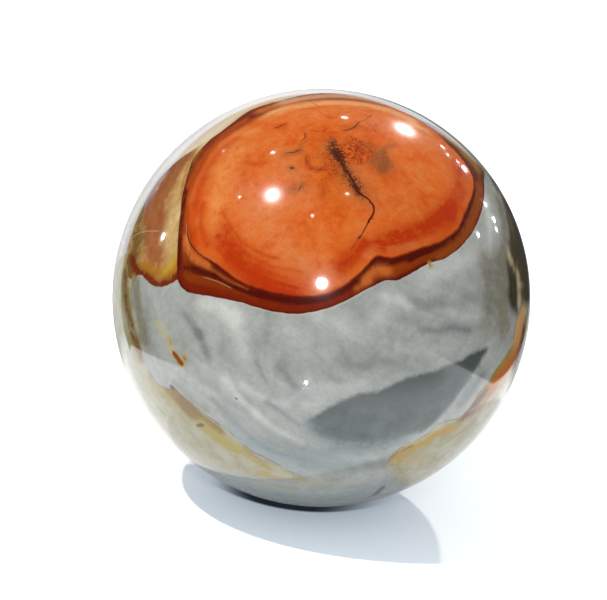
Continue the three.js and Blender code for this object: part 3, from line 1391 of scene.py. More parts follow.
    def ramp(self, value: object, stops: list[tuple[float, Colour]]) -> Socket:
        """Colours along a value from 0 to 1.

        Args:
            value: The value.
            stops: Pairs of a value and its colour, in rising order.

        Returns:
            The colour.
        """
        node = self.node("ShaderNodeValToRGB", {"Fac": value})
        band = node.color_ramp
        band.elements[0].position, band.elements[0].color = stops[0]
        band.elements[1].position, band.elements[1].color = stops[-1]
        for position, colour in stops[1:-1]:
            band.elements.new(position).color = colour
        return node.outputs["Color"]


@dataclass(frozen=True)
class GreyStone:
    """The warm grey ground of the stone, clouded with soft lighter and darker marbling."""

    dark: Colour = tint(98, 102, 98)
    middle: Colour = tint(128, 129, 123)
    light: Colour = tint(146, 146, 139)
    pale: Colour = tint(168, 167, 160)
    cloud_size: float = 9.0
    mottle_size: float = 2.25
    streak_width: float = 1.8
    streak_length: float = 22.0
    level: float = 0.5
    painted_clouds: float = 0.32
    cloud_swing: float = 0.4
    mottle_swing: float = 0.38
    streak_swing: float = 0.24

    def paint(self, paint: Paint) -> Socket:
        """Lays the ground of the stone, with washes that include a painted cool underside and a painted rim
        reflection.

        Args:
            paint: The material's paint.

        Returns:
            The ground's colour.
        """
        broad = paint.noise(self.cloud_size, detail=4.0, rough=0.6, warp=0.8)
        fine = paint.noise(self.mottle_size, detail=4.0, rough=0.65, warp=0.6)
        streak = paint.banded(paint.carried(Field.CREAM.value), self.streak_width, self.streak_length)
        level = paint.add(
            self.level,
            paint.times(paint.carried(CLOUDS.name), self.painted_clouds),
            paint.swing(broad, self.cloud_swing),
            paint.swing(fine, self.mottle_swing),
            paint.swing(streak, self.streak_swing),
        )
        stops = [(0.1, self.dark), (0.42, self.middle), (0.62, self.light), (0.92, self.pale)]
        return paint.washed(paint.ramp(level, stops), GROUND_WASHES, paint.grain)


@dataclass(frozen=True)
class TealStone:
    """Darker blue-green stone with a ragged upper edge, which fades downwards."""

    deep: Colour = tint(46, 53, 50)
    pale: Layer = Layer(tint(62, 73, 71), (0.3, 0.7))
    raggedness: float = 2.2
    mottle_size: float = 4.5
    edge: Span = (-0.6, 1.0)
    misty_edge: Span = (-1.2, 3.4)
    cover: float = 0.95

    def paint(self, paint: Paint, under: Socket) -> Socket:
        """Lays the field over what is below it.

        Args:
            paint: The material's paint.
            under: The colour below.

        Returns:
            The colour with the field on it.
        """
        inside = paint.add(paint.carried(Field.TEAL.value), paint.times(paint.wobble, self.raggedness))
        mottle = paint.noise(self.mottle_size, detail=4.0, rough=0.6)
        own = paint.washed(paint.laid(self.deep, self.pale, mottle), TEAL_WASHES, paint.grain)
        clear, misty = paint.rise(inside, *self.edge), paint.rise(inside, *self.misty_edge)
        soft = paint.over_number(clear, misty, paint.held("teal_mist"))
        return paint.over(under, own, paint.times(soft, self.cover))


@dataclass(frozen=True)
class PaleField:
    """Cream to olive stone with a thin brown line at its edge, and washes of its own."""

    field: Field
    washes: tuple[Wash, ...]
    cream: Colour = tint(146, 140, 116)
    olive: Layer = Layer(tint(128, 119, 84), (0.38, 0.62))
    line: Layer = Layer(tint(88, 66, 34), (0.26, 0.06), 0.7)
    line_gap_size: float = 4.0
    line_gaps: Span = (0.36, 0.54)
    streak_width: float = 1.3
    streak_length: float = 18.0
    streak_share: float = 0.2
    wash_streak_share: float = 0.3
    spread_size: float = 5.0
    edge: Span = (-0.12, 0.22)
    soft_edge: Span = (-1.6, 1.8)
    soft_edge_swing: float = 3.0

    def paint(self, paint: Paint, under: Socket) -> Socket:
        """Lays the field over what is below it.

        Where the mesh carries a soft edge the field fades out over some millimetres and has no line.

        Args:
            paint: The material's paint.
            under: The colour below.

        Returns:
            The colour with the field on it.
        """
        inside = paint.add(paint.carried(self.field.value), paint.wobble)
        bands = paint.banded(inside, self.streak_width, self.streak_length, detail=4.0)
        spread = paint.noise(self.spread_size, detail=4.0, rough=0.62, warp=0.3)
        own = paint.laid(self.cream, self.olive, paint.both(bands, spread, self.streak_share))
        own = paint.washed(own, self.washes, paint.both(bands, paint.grain, self.wash_streak_share))
        soft = paint.held(SOFT_EDGES.name)
        fading = paint.rise(paint.add(inside, paint.swing(spread, self.soft_edge_swing)), *self.soft_edge)
        whole = paint.over(under, own, paint.over_number(paint.rise(inside, *self.edge), fading, soft))
        broken = paint.rise(paint.noise(self.line_gap_size, detail=2.0), *self.line_gaps)
        return paint.laid(whole, self.line, paint.math("ABSOLUTE", inside), broken, paint.rest(soft))


@dataclass(frozen=True)
class UmberStone:
    """Dark olive-brown stone on the right side, streaked and flecked with tan."""

    dark: Colour = tint(38, 32, 14)
    brown: Colour = tint(68, 53, 26)
    tan: Colour = tint(108, 88, 54)
    raggedness: float = 1.5
    streak_width: float = 1.6
    streak_length: float = 9.0
    wash_streak_share: float = 0.6
    edge: Span = (-1.6, 1.6)

    def paint(self, paint: Paint, under: Socket) -> Socket:
        """Lays the field over what is below it.

        Args:
            paint: The material's paint.
            under: The colour below.

        Returns:
            The colour with the field on it.
        """
        inside = paint.add(paint.carried(Field.UMBER.value), paint.times(paint.wobble, self.raggedness))
        bands = paint.banded(inside, self.streak_width, self.streak_length, detail=5.0)
        own = paint.ramp(bands, [(0.4, self.dark), (0.53, self.brown), (0.66, self.tan)])
        own = paint.washed(own, UMBER_WASHES, paint.both(bands, paint.grain, self.wash_streak_share))
        return paint.over(under, own, paint.rise(inside, *self.edge))


@dataclass(frozen=True)
class LobeStone:
    """Cream lobes beside the eye, streaked with clay and moss, and dark brown at the foot."""

    cream: Colour = tint(178, 149, 104)
    sand: Colour = tint(158, 127, 78)
    dry: Colour = tint(134, 98, 58)
    streak_width: float = 2.6
    streak_length: float = 9.0
    streak_share: float = 0.4
    wash_streak_share: float = 0.2
    spread_size: float = 3.4
    edge: Span = (-0.1, 0.16)

    def paint(self, paint: Paint, under: Socket) -> Socket:
        """Lays the lobes over what is below them.

        Args:
            paint: The material's paint.
            under: The colour below.

        Returns:
            The colour with the lobes on it.
        """
        inside = paint.add(paint.carried(Field.LOBE.value), paint.wobble)
        from_eye = paint.carried(Field.EYE.value)
        streaks = paint.banded(from_eye, self.streak_width, self.streak_length, detail=4.0)
        spread = paint.noise(self.spread_size, detail=4.0, rough=0.62)
        level = paint.both(streaks, spread, self.streak_share)
        own = paint.ramp(level, [(0.36, self.cream), (0.5, self.sand), (0.66, self.dry)])
        own = paint.washed(own, LOBE_WASHES, paint.both(streaks, paint.grain, self.wash_streak_share))
        return paint.over(under, own, paint.rise(inside, *self.edge))


@dataclass(frozen=True)
class EyeStone:
    """The red-orange eye: a dark brown rind in thin layers, and an orange heart."""

    russet: Colour = tint(92, 18, 0)
    bronze: Colour = tint(108, 40, 2)
    dark: Colour = tint(68, 7, 0)
    orange: Colour = tint(179, 84, 26)
    pink: Colour = tint(179, 98, 43)
    deep: Colour = tint(165, 64, 6)
    outline: Layer = Layer(tint(58, 10, 0), (0.42, 0.08), 0.9)
    outline_share: float = 0.85
    halo: Layer = Layer(tint(178, 162, 150), (-0.6, -0.12), 0.45)
    halo_beside_line: Span = (0.1, 0.5)
    line: Layer = Layer(tint(68, 7, 0), (0.75, 0.1), 0.75)
    line_least: float = 0.12
    streaks: Layer = Layer(tint(146, 50, 8), (0.5, 0.75), 0.5)
    streak_width: float = 0.4
    streak_length: float = 7.0
    streak_depth: Span = (10.0, 2.0)
    crumbs: Layer = Layer(tint(146, 50, 8), (0.54, 0.7), 0.36)
    crumb_size: float = 0.8
    raggedness: float = 0.6
    edge: Span = (-0.1, 0.12)
    heart_edge: Span = (-0.9, 1.6)
    heart_lined_edge: Span = (-0.15, 0.45)
    rind_least: float = 0.05
    rind_layer: float = 0.55
    rind_layer_length: float = 13.0
    rind_layer_swing: float = 0.4
    rind_wash_layers: float = 0.35
    broad_size: float = 7.0
    broad_share: float = 0.6
    heart_layer: float = 0.9
    heart_layer_length: float = 12.0
    heart_layer_depth: Span = (2.5, 7.0)
    heart_wash_layers: float = 0.6

    def rind(self, paint: Paint, inside: Socket, core: Socket) -> Socket:
        """The rind's colour.

        It follows how far across the rind a point lies, which is the way from the outline over the whole
        way from the outline to the heart, moved to and fro by thin layers.

        Args:
            paint: The material's paint.
            inside: Millimetres inside the eye's outline.
            core: Millimetres inside the heart's outline, below 0 in the rind.

        Returns:
            The colour.
        """
        left = paint.math("MAXIMUM", paint.times(core, -1.0), 0.0)
        whole = paint.add(paint.math("MAXIMUM", inside, 0.0), left, self.rind_least)
        way = paint.math("DIVIDE", inside, whole, clamp=True)
        layers = paint.banded(inside, self.rind_layer, self.rind_layer_length, detail=4.0)
        level = paint.add(way, paint.swing(layers, self.rind_layer_swing))
        stops = [
            (0.0, self.dark), (0.14, self.russet), (0.32, self.bronze), (0.46, self.bronze),
            (0.62, self.dark), (0.82, self.dark), (1.0, self.russet),
        ]
        patchy = paint.both(layers, paint.grain, self.rind_wash_layers)
        rind = paint.washed(paint.ramp(level, stops), RIND_WASHES, patchy)
        shown = paint.math("SUBTRACT", self.outline_share, paint.held("buff"))
        return paint.laid(rind, self.outline, inside, shown)

    def heart(self, paint: Paint, core: Socket) -> Socket:
        """The heart's colour: orange, pinker and redder in turn, in faint layers along its edge.

        Args:
            paint: The material's paint.
            core: Millimetres inside the heart's outline.

        Returns:
            The colour.
        """
        broad = paint.noise(self.broad_size, detail=5.0, rough=0.62, warp=0.5)
        layers = paint.banded(core, self.heart_layer, self.heart_layer_length, detail=4.0)
        layers = paint.over_number(layers, paint.grain, paint.rise(core, *self.heart_layer_depth))
        level = paint.both(broad, layers, self.broad_share)
        heart = paint.ramp(level, [(0.36, self.deep), (0.5, self.orange), (0.64, self.pink)])
        heart = paint.washed(heart, HEART_WASHES, paint.both(layers, paint.grain, self.heart_wash_layers))
        streaks = paint.banded(core, self.streak_width, self.streak_length)
        heart = paint.laid(heart, self.streaks, paint.times(streaks, paint.rise(core, *self.streak_depth)))
        return paint.laid(heart, self.crumbs, paint.noise(self.crumb_size, detail=4.0, rough=0.7))

    def paint(self, paint: Paint, under: Socket) -> Socket:
        """Lays the eye over what is below it.

        Where the mesh carries the heart's line, the heart's edge is sharp and dark, and the ground beside
        the eye's outline is paler.

        Args:
            paint: The material's paint.
            under: The colour below.

        Returns:
            The colour with the eye on it.
        """
        inside = paint.add(paint.carried(Field.EYE.value), paint.times(paint.wobble, self.raggedness))
        core = paint.add(paint.carried(Field.CORE.value), paint.wobble)
        carried = paint.carried(CORE_LINE.name)
        ground = paint.laid(under, self.halo, inside, paint.rise(carried, *self.halo_beside_line))
        plain, lined = paint.rise(core, *self.heart_edge), paint.rise(core, *self.heart_lined_edge)
        share = paint.over_number(plain, lined, paint.held(CORE_LINE.name))
        whole = paint.over(self.rind(paint, inside, core), self.heart(paint, core), share)
        shown = paint.math("MINIMUM", paint.add(self.line_least, carried), 1.0)
        whole = paint.laid(whole, self.line, paint.math("ABSOLUTE", core), shown)
        return paint.over(ground, whole, paint.rise(inside, *self.edge))


@dataclass(frozen=True)
class Flaws:
    """What lies in the stone as specks and lines: moss, embers, soot, veins and single spots."""

    fine_size: float = 0.42
    crumbs: Layer = Layer(CRUMBLE.colour, (0.36, 0.58), 0.9)
    crumb_size: float = 1.3
    grit: Layer = Layer(tint(110, 46, 14), (0.5, 0.64), 0.8)
    grit_beside_crumbs: Span = (0.58, 0.44)
    embers: Layer = Layer(EMBER.colour, (0.3, 0.55), 0.9)
    ember_dark: Layer = Layer(tint(96, 24, 2), (0.3, 0.16), 0.6)
    ember_gold: Layer = Layer(tint(190, 84, 22), (0.13, 0.05), 0.75)
    ember_middle: Span = (0.25, 0.7)
    curl_size: float = 2.6
    curl_swing: float = 2.0
    soot: Layer = Layer(SOOT.colour, (0.8, 1.25), 0.86)
    soot_swing: float = 5.2
    soot_edge: Span = (0.05, 0.35)
    vein_swing: float = 2.4
    vein_edge: Span = (1.25, 0.35)
    spot: Layer = Layer(tint(118, 50, 2), (-0.08, 0.2), 0.95)
    spot_halo: Layer = Layer(tint(148, 120, 58), (-0.8, 0.0), 0.6)
    spot_raggedness: float = 1.3
    speck: Layer = Layer(tint(48, 42, 30), (-0.1, 0.16), 0.85)
    speck_raggedness: float = 0.7

    def veined(self, paint: Paint, under: Socket, veins: Veins, broken: Socket) -> Socket:
        """Lays thin lines over a colour.

        Args:
            paint: The material's paint.
            under: The colour below.
            veins: The lines.
            broken: Variation between 0 and 1 that thins the lines in places.

        Returns:
            The colour with the lines on it.
        """
        across = paint.add(paint.carried(veins.name), paint.times(paint.wobble, veins.ragged))
        thinned = paint.add(paint.math("ABSOLUTE", across), paint.swing(broken, self.vein_swing))
        layer = Layer(veins.colour, self.vein_edge)
        return paint.laid(under, layer, thinned, paint.carried(veins.reach_name))

    def glowing(self, paint: Paint, under: Socket, fine: Socket) -> Socket:
        """Lays the embers over a colour: a patch of red grains, with dark and golden curls in its middle.

        A curl is where a winding variation passes through its mean, so it runs as a thin bent ridge.

        Args:
            paint: The material's paint.
            under: The colour below.
            fine: Fine variation between 0 and 1, which makes the grains.

        Returns:
            The colour with the embers on it.
        """
        ember = paint.held(EMBER.name)
        colour = paint.laid(under, self.embers, fine, ember)
        curl = paint.noise(self.curl_size, detail=2.0, rough=0.5, warp=1.8)
        ridge = paint.math("ABSOLUTE", paint.swing(curl, self.curl_swing))
        middle = paint.rise(ember, *self.ember_middle)
        colour = paint.laid(colour, self.ember_dark, ridge, middle)
        return paint.laid(colour, self.ember_gold, ridge, middle)

    def paint(self, paint: Paint, under: Socket) -> Socket:
        """Lays the flaws over the finished fields.

        Args:
            paint: The material's paint.
            under: The colour below.

        Returns:
            The colour with the flaws on it.
        """
        fine = paint.noise(self.fine_size, detail=3.0, rough=0.7)
        crumb = paint.noise(self.crumb_size, detail=3.0, rough=0.62, warp=1.0)
        crumble = paint.held(CRUMBLE.name)
        colour = paint.laid(under, self.crumbs, crumb, crumble)
        colour = paint.laid(colour, self.grit, fine, crumble, paint.rise(crumb, *self.grit_beside_crumbs))
        colour = paint.washed(colour, (MOSS,), fine)
        colour = self.glowing(paint, colour, fine)
        soot = paint.carried(SOOT.name)
        peppered = paint.add(soot, paint.swing(fine, self.soot_swing))
        colour = paint.laid(colour, self.soot, peppered, paint.rise(soot, *self.soot_edge))
        for veins in (DARK_VEINS, PALE_VEINS):
            colour = self.veined(paint, colour, veins, fine)
        spot = paint.add(paint.carried("spot"), paint.times(paint.wobble, self.spot_raggedness))
        colour = paint.laid(colour, self.spot_halo, spot)
        colour = paint.laid(colour, self.spot, spot)
        speck = paint.add(paint.carried("speck"), paint.times(paint.wobble, self.speck_raggedness))
        return paint.laid(colour, self.speck, speck)


@dataclass(frozen=True)
class JasperPolish:
    """The whole finish: the painted fields under a high polish.

    A thin, rougher coat stands for the polish's haze. Outlines wobble by some tenths of a millimetre, and
    on the sides that the photograph doesn't show those of the fields wander by millimetres.
    """

    roughness: float = 0.06
    refraction: float = 1.6
    haze: float = 0.31
    haze_roughness: float = 0.15
    wobble_size: float = 2.6
    wobble: float = 0.5
    fine_wobble_size: float = 0.8
    fine_wobble: float = 0.32
    wander_size: float = 13.0
    wander: float = 11.0
    grain_size: float = 1.9
    speckle_size: float = 0.42
    speckle: float = 0.33

    def material(self) -> bpy.types.Material:
        """Makes the material.

        Returns:
            The polished stone.
        """
        material = bpy.data.materials.new("polished_jasper")
        material.use_nodes = True
        paint = Paint(material.node_tree)
        medium = paint.swing(paint.noise(self.wobble_size, detail=2.0), self.wobble)
        small = paint.swing(paint.noise(self.fine_wobble_size, detail=3.0), self.fine_wobble)
        wobble = paint.add(medium, small)
        wander = paint.swing(paint.noise(self.wander_size, detail=4.0, rough=0.6, warp=0.6), self.wander)
        paint.wobble = paint.add(wobble, paint.times(wander, paint.carried("unseen")))
        paint.grain = paint.noise(self.grain_size, detail=4.0, rough=0.62, warp=0.5)
        colour = GreyStone().paint(paint)
        fields = (
            TealStone(), PaleField(Field.CREAM, CREAM_WASHES), PaleField(Field.OCHRE, OCHRE_WASHES),
            UmberStone(), LobeStone(), EyeStone(),
        )
        for field in fields:
            colour = field.paint(paint, colour)
        paint.wobble = wobble
        colour = Flaws().paint(paint, colour)
        speckle = paint.noise(self.speckle_size, detail=2.0, rough=0.6)
        colour = paint.scaled(colour, paint.add(1.0, paint.swing(speckle, self.speckle)))
        shader = material.node_tree.nodes["Principled BSDF"]
        paint.feed(shader.inputs["Base Color"], colour)
        shader.inputs["Roughness"].default_value = self.roughness
        shader.inputs["IOR"].default_value = self.refraction
        shader.inputs["Coat Weight"].default_value = self.haze
        shader.inputs["Coat Roughness"].default_value = self.haze_roughness
        return material


@dataclass(frozen=True)
class StoneSphere:
    """The stone itself, a fine ball on its ground flat."""

    ball: Ball
    camera: PhotoCamera
    cells: int = 128
    pull: float = 0.45
    decimals: int = 6
    rim_share: float = 0.55

    def grid(self) -> tuple[np.ndarray, np.ndarray]:
        """Six square grids swelled out to a ball.

        On each side of a cube the two parameters run from minus to plus 45 degrees. A place is the side's
        normal plus the tangent of each parameter times the side's own two axes, scaled to length 1. The
        places that two sides share along an edge are made one.

        Returns:
            Unit directions, and faces of four corners each that turn outwards.
        """
        angles = np.linspace(-math.pi / 4, math.pi / 4, self.cells + 1)
        first, second = (np.tan(part).ravel() for part in np.meshgrid(angles, angles, indexing="ij"))
        row = np.arange(self.cells)[:, None] * (self.cells + 1) + np.arange(self.cells)[None, :]
        corner = row.ravel()
        quad = np.stack([corner, corner + self.cells + 1, corner + self.cells + 2, corner + 1], axis=1)
        sides = []
        for axis in range(3):
            for sign in (1.0, -1.0):
                normal = np.roll([sign, 0.0, 0.0], axis)
                along = np.roll([0.0, 1.0, 0.0], axis)
                across = np.cross(normal, along)
                sides.append(unit(normal + first[:, None] * along + second[:, None] * across))
        count = len(first)
        quads = np.concatenate([quad + side * count for side in range(len(sides))])
        directions = np.concatenate(sides)
        _, first_seen, place = np.unique(
            np.round(directions, self.decimals), axis=0, return_index=True, return_inverse=True
        )
        return self.drawn_forward(directions[first_seen]), place.reshape(-1)[quads]

    def drawn_forward(self, directions: np.ndarray) -> np.ndarray:
        """Draws places towards the photograph's side, where the finest markings are.

        A place at an angle a from the camera's direction moves to the angle a less the pull times sine a.

        Args:
            directions: Unit directions from the ball's centre.

        Returns:
            Unit directions, closer together in front and wider apart at the back.
        """
        front = unit(self.camera.position - self.ball.centre)
        angle = np.arccos(np.clip(directions @ front, -1, 1))
        aside = directions - np.cos(angle)[:, None] * front
        aside /= np.maximum(np.linalg.norm(aside, axis=1, keepdims=True), TINY)
        angle -= self.pull * np.sin(angle)
        return unit(np.cos(angle)[:, None] * front + np.sin(angle)[:, None] * aside)

    def on_foot(self, directions: np.ndarray) -> np.ndarray:
        """Places of the ball's surface, with the flat ground into its foot.

        Directions within a share of a cell from the flat's rim are moved onto it, so that the rim is a
        clean circle. Directions inside the rim run out to the flat, whose distance is the centre's height
        over the cosine of the angle from straight down, and all others run out to the ball.

        Args:
            directions: Unit directions from the ball's centre.

        Returns:
            Places in the frame.
        """
        angle = np.arccos(np.clip(-directions[:, 2], -1, 1))
        rim = self.ball.foot_angle
        step = math.radians(90 / self.cells) * self.rim_share
        angle = np.where(np.abs(angle - rim) < step, rim, angle)
        level = directions[:, :2]
        level = level / np.maximum(np.linalg.norm(level, axis=1, keepdims=True), TINY)
        to_flat = self.ball.centre_height / np.cos(np.minimum(angle, rim))
        reach = np.where(angle < rim, to_flat, self.ball.radius)
        outward = level * (reach * np.sin(angle))[:, None]
        height = self.ball.centre_height - reach * np.cos(angle)
        return np.concatenate([outward, height[:, None]], axis=1)

    def build(self) -> None:
        """Makes the stone's mesh, measures its markings and dresses it."""
        directions, quads = self.grid()
        mesh = bpy.data.meshes.new("jasper_stone")
        mesh.from_pydata(self.on_foot(directions), [], quads)
        mesh.polygons.foreach_set("use_smooth", np.ones(len(quads), bool))
        for name, values in measured(Grid(directions, self.camera)).items():
            layer = mesh.attributes.new(name, "FLOAT", "POINT")
            layer.data.foreach_set("value", values.astype(np.float32))
        mesh.materials.append(JasperPolish().material())
        mesh.update()
        stone = set_up("jasper_stone", mesh)
        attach(stone, BODY)
        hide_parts(NODE)
        LOG.info("jasper_stone: %d points, %d faces", len(directions), len(quads))


@dataclass(frozen=True)
class Lamp:
    """A round lamp, placed by its highlight: the ray mirrored in the stone there leads back to it.

    The highlight is a photo pixel, the reach is the way from the stone to the lamp in ball radii, the
    light is what the lamp alone gives a white floor, and the spread is its radius over its reach.
    """

    name: str
    highlight: tuple[float, float]
    reach: float
    light: float
    spread: float
    colour: tuple[float, float, float] = (1.0, 1.0, 1.0)

    def place(self, camera: PhotoCamera) -> None:
        """Hangs the lamp.

        Light on the floor falls off with the square of the way to it and with the sine of the lamp's
        height, so the power that gives the wanted light is worked back from both.

        Args:
            camera: The photograph's camera.
        """
        start, towards = camera.mirrored(self.highlight)
        position = start + towards * self.reach * camera.ball.radius
        distance = float(np.linalg.norm(position))
        sine = float(position[2]) / distance
        data = bpy.data.lights.new(self.name, "AREA")
        data.shape = "DISK"
        data.size = 2 * self.spread * distance
        data.color = self.colour
        data.energy = self.light * math.pi**2 * distance**2 / sine
        lamp = set_up(self.name, data)
        back = unit(position)
        side = unit(np.cross([0.0, 0.0, 1.0], back))
        lamp.matrix_world = placed(np.array([side, np.cross(back, side), back]), position)
        lamp.visible_camera = False
        LOG.info("%s: %.2f m away, %.0f W", self.name, distance, data.energy)


@dataclass(frozen=True)
class PaleFloor:
    """The pale floor, with the white sheet that the stone stands on.

    The size is in metres and the other lengths are in ball radii: across runs to the right and deep runs
    away from the camera. To mirrored rays the floor is dark under the stone and past the sheet's edge,
    and lighter behind the stone. The edge is round on the left, where a straight line cuts it behind, and
    fades out in front. On the right it slants off, and then runs straight back at the side.
    """

    ball: Ball
    room_dark: Colour
    size: float = 30.0
    white: float = 0.8
    sheet_radius: float = 2.3
    edge_width: float = 0.01
    front: Span = (-0.36, -0.7)
    front_fade: float = 0.55
    front_cut: float = 0.1
    back: Span = (0.72, 0.78)
    back_slope: float = 0.68
    back_edge: Span = (-1.46, -1.50)
    slant_deep: float = 0.62
    slant_across: float = 0.78
    slant_reach: float = 1.79
    side_reach: float = 2.03
    edge_softness: float = 0.02
    right: Span = (0.0, 0.01)
    foot_radius: float = 0.2
    foot_softness: float = 0.04
    glow: Colour = (0.17, 0.21, 0.25, 1.0)
    glow_seen: Span = (0.17, 0.28)
    glow_mirrored: Span = (0.4, 1.2)
    glow_mirrored_share: float = 0.75
    far_light: Colour = (0.94, 0.98, 1.0, 1.0)
    far_from: Span = (0.9, 1.5)
    far_strength: float = 0.58
    far_left_strength: float = 0.84
    far_left: Span = (-1.3, -2.3)
    shade_light: Colour = (0.012, 0.017, 0.026, 1.0)
    shade_middle: float = 2.05
    shade_length: float = 2.325
    shade_edge: Span = (1.01, 0.985)
    shade_from_foot: Span = (0.49, 0.29)
    shade_on_right: Span = (0.42, 0.02)

    def off_sheet(self, paint: Paint, across: object, deep: object, away: object) -> Socket:
        """Where the floor lies past the sheet's edge or under the stone.

        The round edge is where 1 less the sheet's radius over the way from the stone rises past 0. The
        slanting edge and the cut behind on the left are where a sum of shares of across and deep does.

        Args:
            paint: The floor's paint.
            across: Ball radii to the right of the stone's foot.
            deep: Ball radii behind it.
            away: Ball radii from it.

        Returns:
            1 past the edge and under the stone, 0 on the sheet.
        """
        front = paint.rise(paint.math("DIVIDE", deep, away), *self.front)
        beyond = paint.rest(paint.math("DIVIDE", self.sheet_radius, away))
        beyond = paint.add(beyond, paint.times(front, self.front_cut))
        width = paint.add(self.edge_width, paint.times(front, self.front_fade))
        past = paint.math("DIVIDE", beyond, width, clamp=True)
        behind_left = paint.rise(paint.add(across, paint.times(deep, self.back_slope)), *self.back_edge)
        left = paint.over_number(past, behind_left, paint.rise(deep, *self.back))
        slant = paint.add(paint.times(deep, self.slant_deep), paint.times(across, self.slant_across))
        aslant = paint.edge(slant, self.slant_reach, self.edge_softness)
        right = paint.math("MINIMUM", aslant, paint.edge(across, self.side_reach, self.edge_softness))
        on_right = paint.times(paint.rise(across, *self.right), paint.rest(front))
        outside = paint.over_number(left, right, on_right)
        outside = paint.math("MAXIMUM", outside, paint.times(past, front))
        under_stone = paint.edge(away, self.foot_radius, -self.foot_softness)
        return paint.math("MAXIMUM", outside, under_stone)

    def shade(self, paint: Paint, across: object, deep: object, away: object) -> Socket:
        """Where the floor is nearly black to the camera: beside the foot, in the shade of a lamp.

        The shade is an oval behind the foot, where the stone hides the lamp by the camera: the square of
        the way along it over its length, plus the square of the way across, is less than 1.

        Args:
            paint: The floor's paint.
            across: Ball radii to the right of the stone's foot.
            deep: Ball radii behind it.
            away: Ball radii from it.

        Returns:
            1 in the shade, 0 outside it.
        """
        along = paint.math("DIVIDE", paint.math("SUBTRACT", deep, self.shade_middle), self.shade_length)
        oval = paint.add(paint.times(along, along), paint.times(across, across))
        near_foot = paint.rise(away, *self.shade_from_foot)
        return paint.times(
            paint.rise(oval, *self.shade_edge), near_foot, paint.rise(across, *self.shade_on_right)
        )

    def dress(self, material: bpy.types.Material) -> None:
        """Gives the floor its finish: a matt white that glows a little, except under the stone.

        Args:
            material: The floor's material, with its nodes as they come.
        """
        paint = Paint(material.node_tree)
        shader = paint.tree.nodes["Principled BSDF"]
        shader.inputs["Base Color"].default_value = (self.white, self.white, self.white, 1.0)
        shader.inputs["Roughness"].default_value = 1.0
        shader.inputs["Specular IOR Level"].default_value = 0.0
        across, deep, _ = paint.apart(paint.scaled(paint.place, 1 / self.ball.radius))
        away = paint.math("SQRT", paint.add(paint.times(across, across), paint.times(deep, deep)))
        path = paint.tree.nodes.new("ShaderNodeLightPath")
        to_camera = path.outputs["Is Camera Ray"]
        mirrored = path.outputs["Is Glossy Ray"]
        glow = paint.times(paint.rise(away, *self.glow_mirrored), self.glow_mirrored_share)
        glow = paint.over_number(glow, paint.rise(away, *self.glow_seen), to_camera)
        shader.inputs["Emission Color"].default_value = self.glow
        paint.feed(shader.inputs["Emission Strength"], glow)
        to_left = paint.rise(across, *self.far_left)
        strength = paint.over_number(self.far_strength, self.far_left_strength, to_left)
        far = paint.glow(self.far_light, strength)
        behind = paint.times(mirrored, paint.rise(deep, *self.far_from))
        lighter = paint.choose(behind, shader.outputs[0], far)
        share = paint.times(mirrored, self.off_sheet(paint, across, deep, away))
        whole = paint.choose(share, lighter, paint.glow(self.room_dark))
        shaded = paint.times(self.shade(paint, across, deep, away), to_camera)
        whole = paint.choose(shaded, whole, paint.glow(self.shade_light))
        paint.tree.links.new(whole, paint.tree.nodes["Material Output"].inputs["Surface"])

    def build(self) -> None:
        """Lays the floor as one square face."""
        half = self.size / 2
        corners = [(-half, -half, 0.0), (half, -half, 0.0), (half, half, 0.0), (-half, half, 0.0)]
        mesh = bpy.data.meshes.new("pale_floor")
        mesh.from_pydata(corners, [], [(0, 1, 2, 3)])
        floor = set_up("pale_floor", mesh)
        material = bpy.data.materials.new("pale_floor")
        material.use_nodes = True
        mesh.materials.append(material)
        self.dress(material)
        LOG.info("pale_floor: %.0f m across", self.size)


@dataclass(frozen=True)
class Room:
    """The room's light: soft all round, and to mirrored rays dark with a white backdrop.

    The backdrop stands low behind the stone, from well to the left to a little to the right. Its sides are
    sines of the bearing, and its top is a slope that changes with the bearing by the tilt.
    """

    dark: Colour
    light: Colour = (0.68, 0.73, 0.79, 1.0)
    seen_light: Colour = (1.1, 1.1, 1.1, 1.0)
    backdrop: Colour = (0.86, 0.91, 1.02, 1.0)
    backdrop_behind: Span = (0.0, 0.1)
    backdrop_left: Span = (-0.66, -0.56)
    backdrop_right: Span = (0.34, 0.24)
    backdrop_top: Span = (0.19, 0.15)
    backdrop_tilt: float = -0.12

    def build(self) -> None:
        """Fills the room."""
        world = bpy.data.worlds.new("studio")
        bpy.context.scene.world = world
        world.use_nodes = True
        world.node_tree.nodes.clear()
        paint = Paint(world.node_tree, "Generated")
        across, deep, high = paint.apart(paint.place)
        level = paint.math("SQRT", paint.add(paint.times(across, across), paint.times(deep, deep)))
        sine = paint.math("DIVIDE", across, level)
        to_left = paint.rise(sine, *self.backdrop_left)
        to_right = paint.rise(sine, *self.backdrop_right)
        behind = paint.times(paint.rise(deep, *self.backdrop_behind), to_left, to_right)
        slope = paint.add(paint.math("DIVIDE", high, level), paint.times(sine, self.backdrop_tilt))
        low = paint.rise(slope, *self.backdrop_top)
        path = paint.tree.nodes.new("ShaderNodeLightPath")
        mirrored = paint.choose(paint.times(behind, low), paint.light(self.dark), paint.light(self.backdrop))
        soft, bright = paint.light(self.light), paint.light(self.seen_light)
        seen = paint.choose(path.outputs["Is Camera Ray"], soft, bright)
        whole = paint.choose(path.outputs["Is Glossy Ray"], seen, mirrored)
        output = paint.tree.nodes.new("ShaderNodeOutputWorld")
        paint.tree.links.new(whole, output.inputs["Surface"])
        LOG.info("studio: room light")


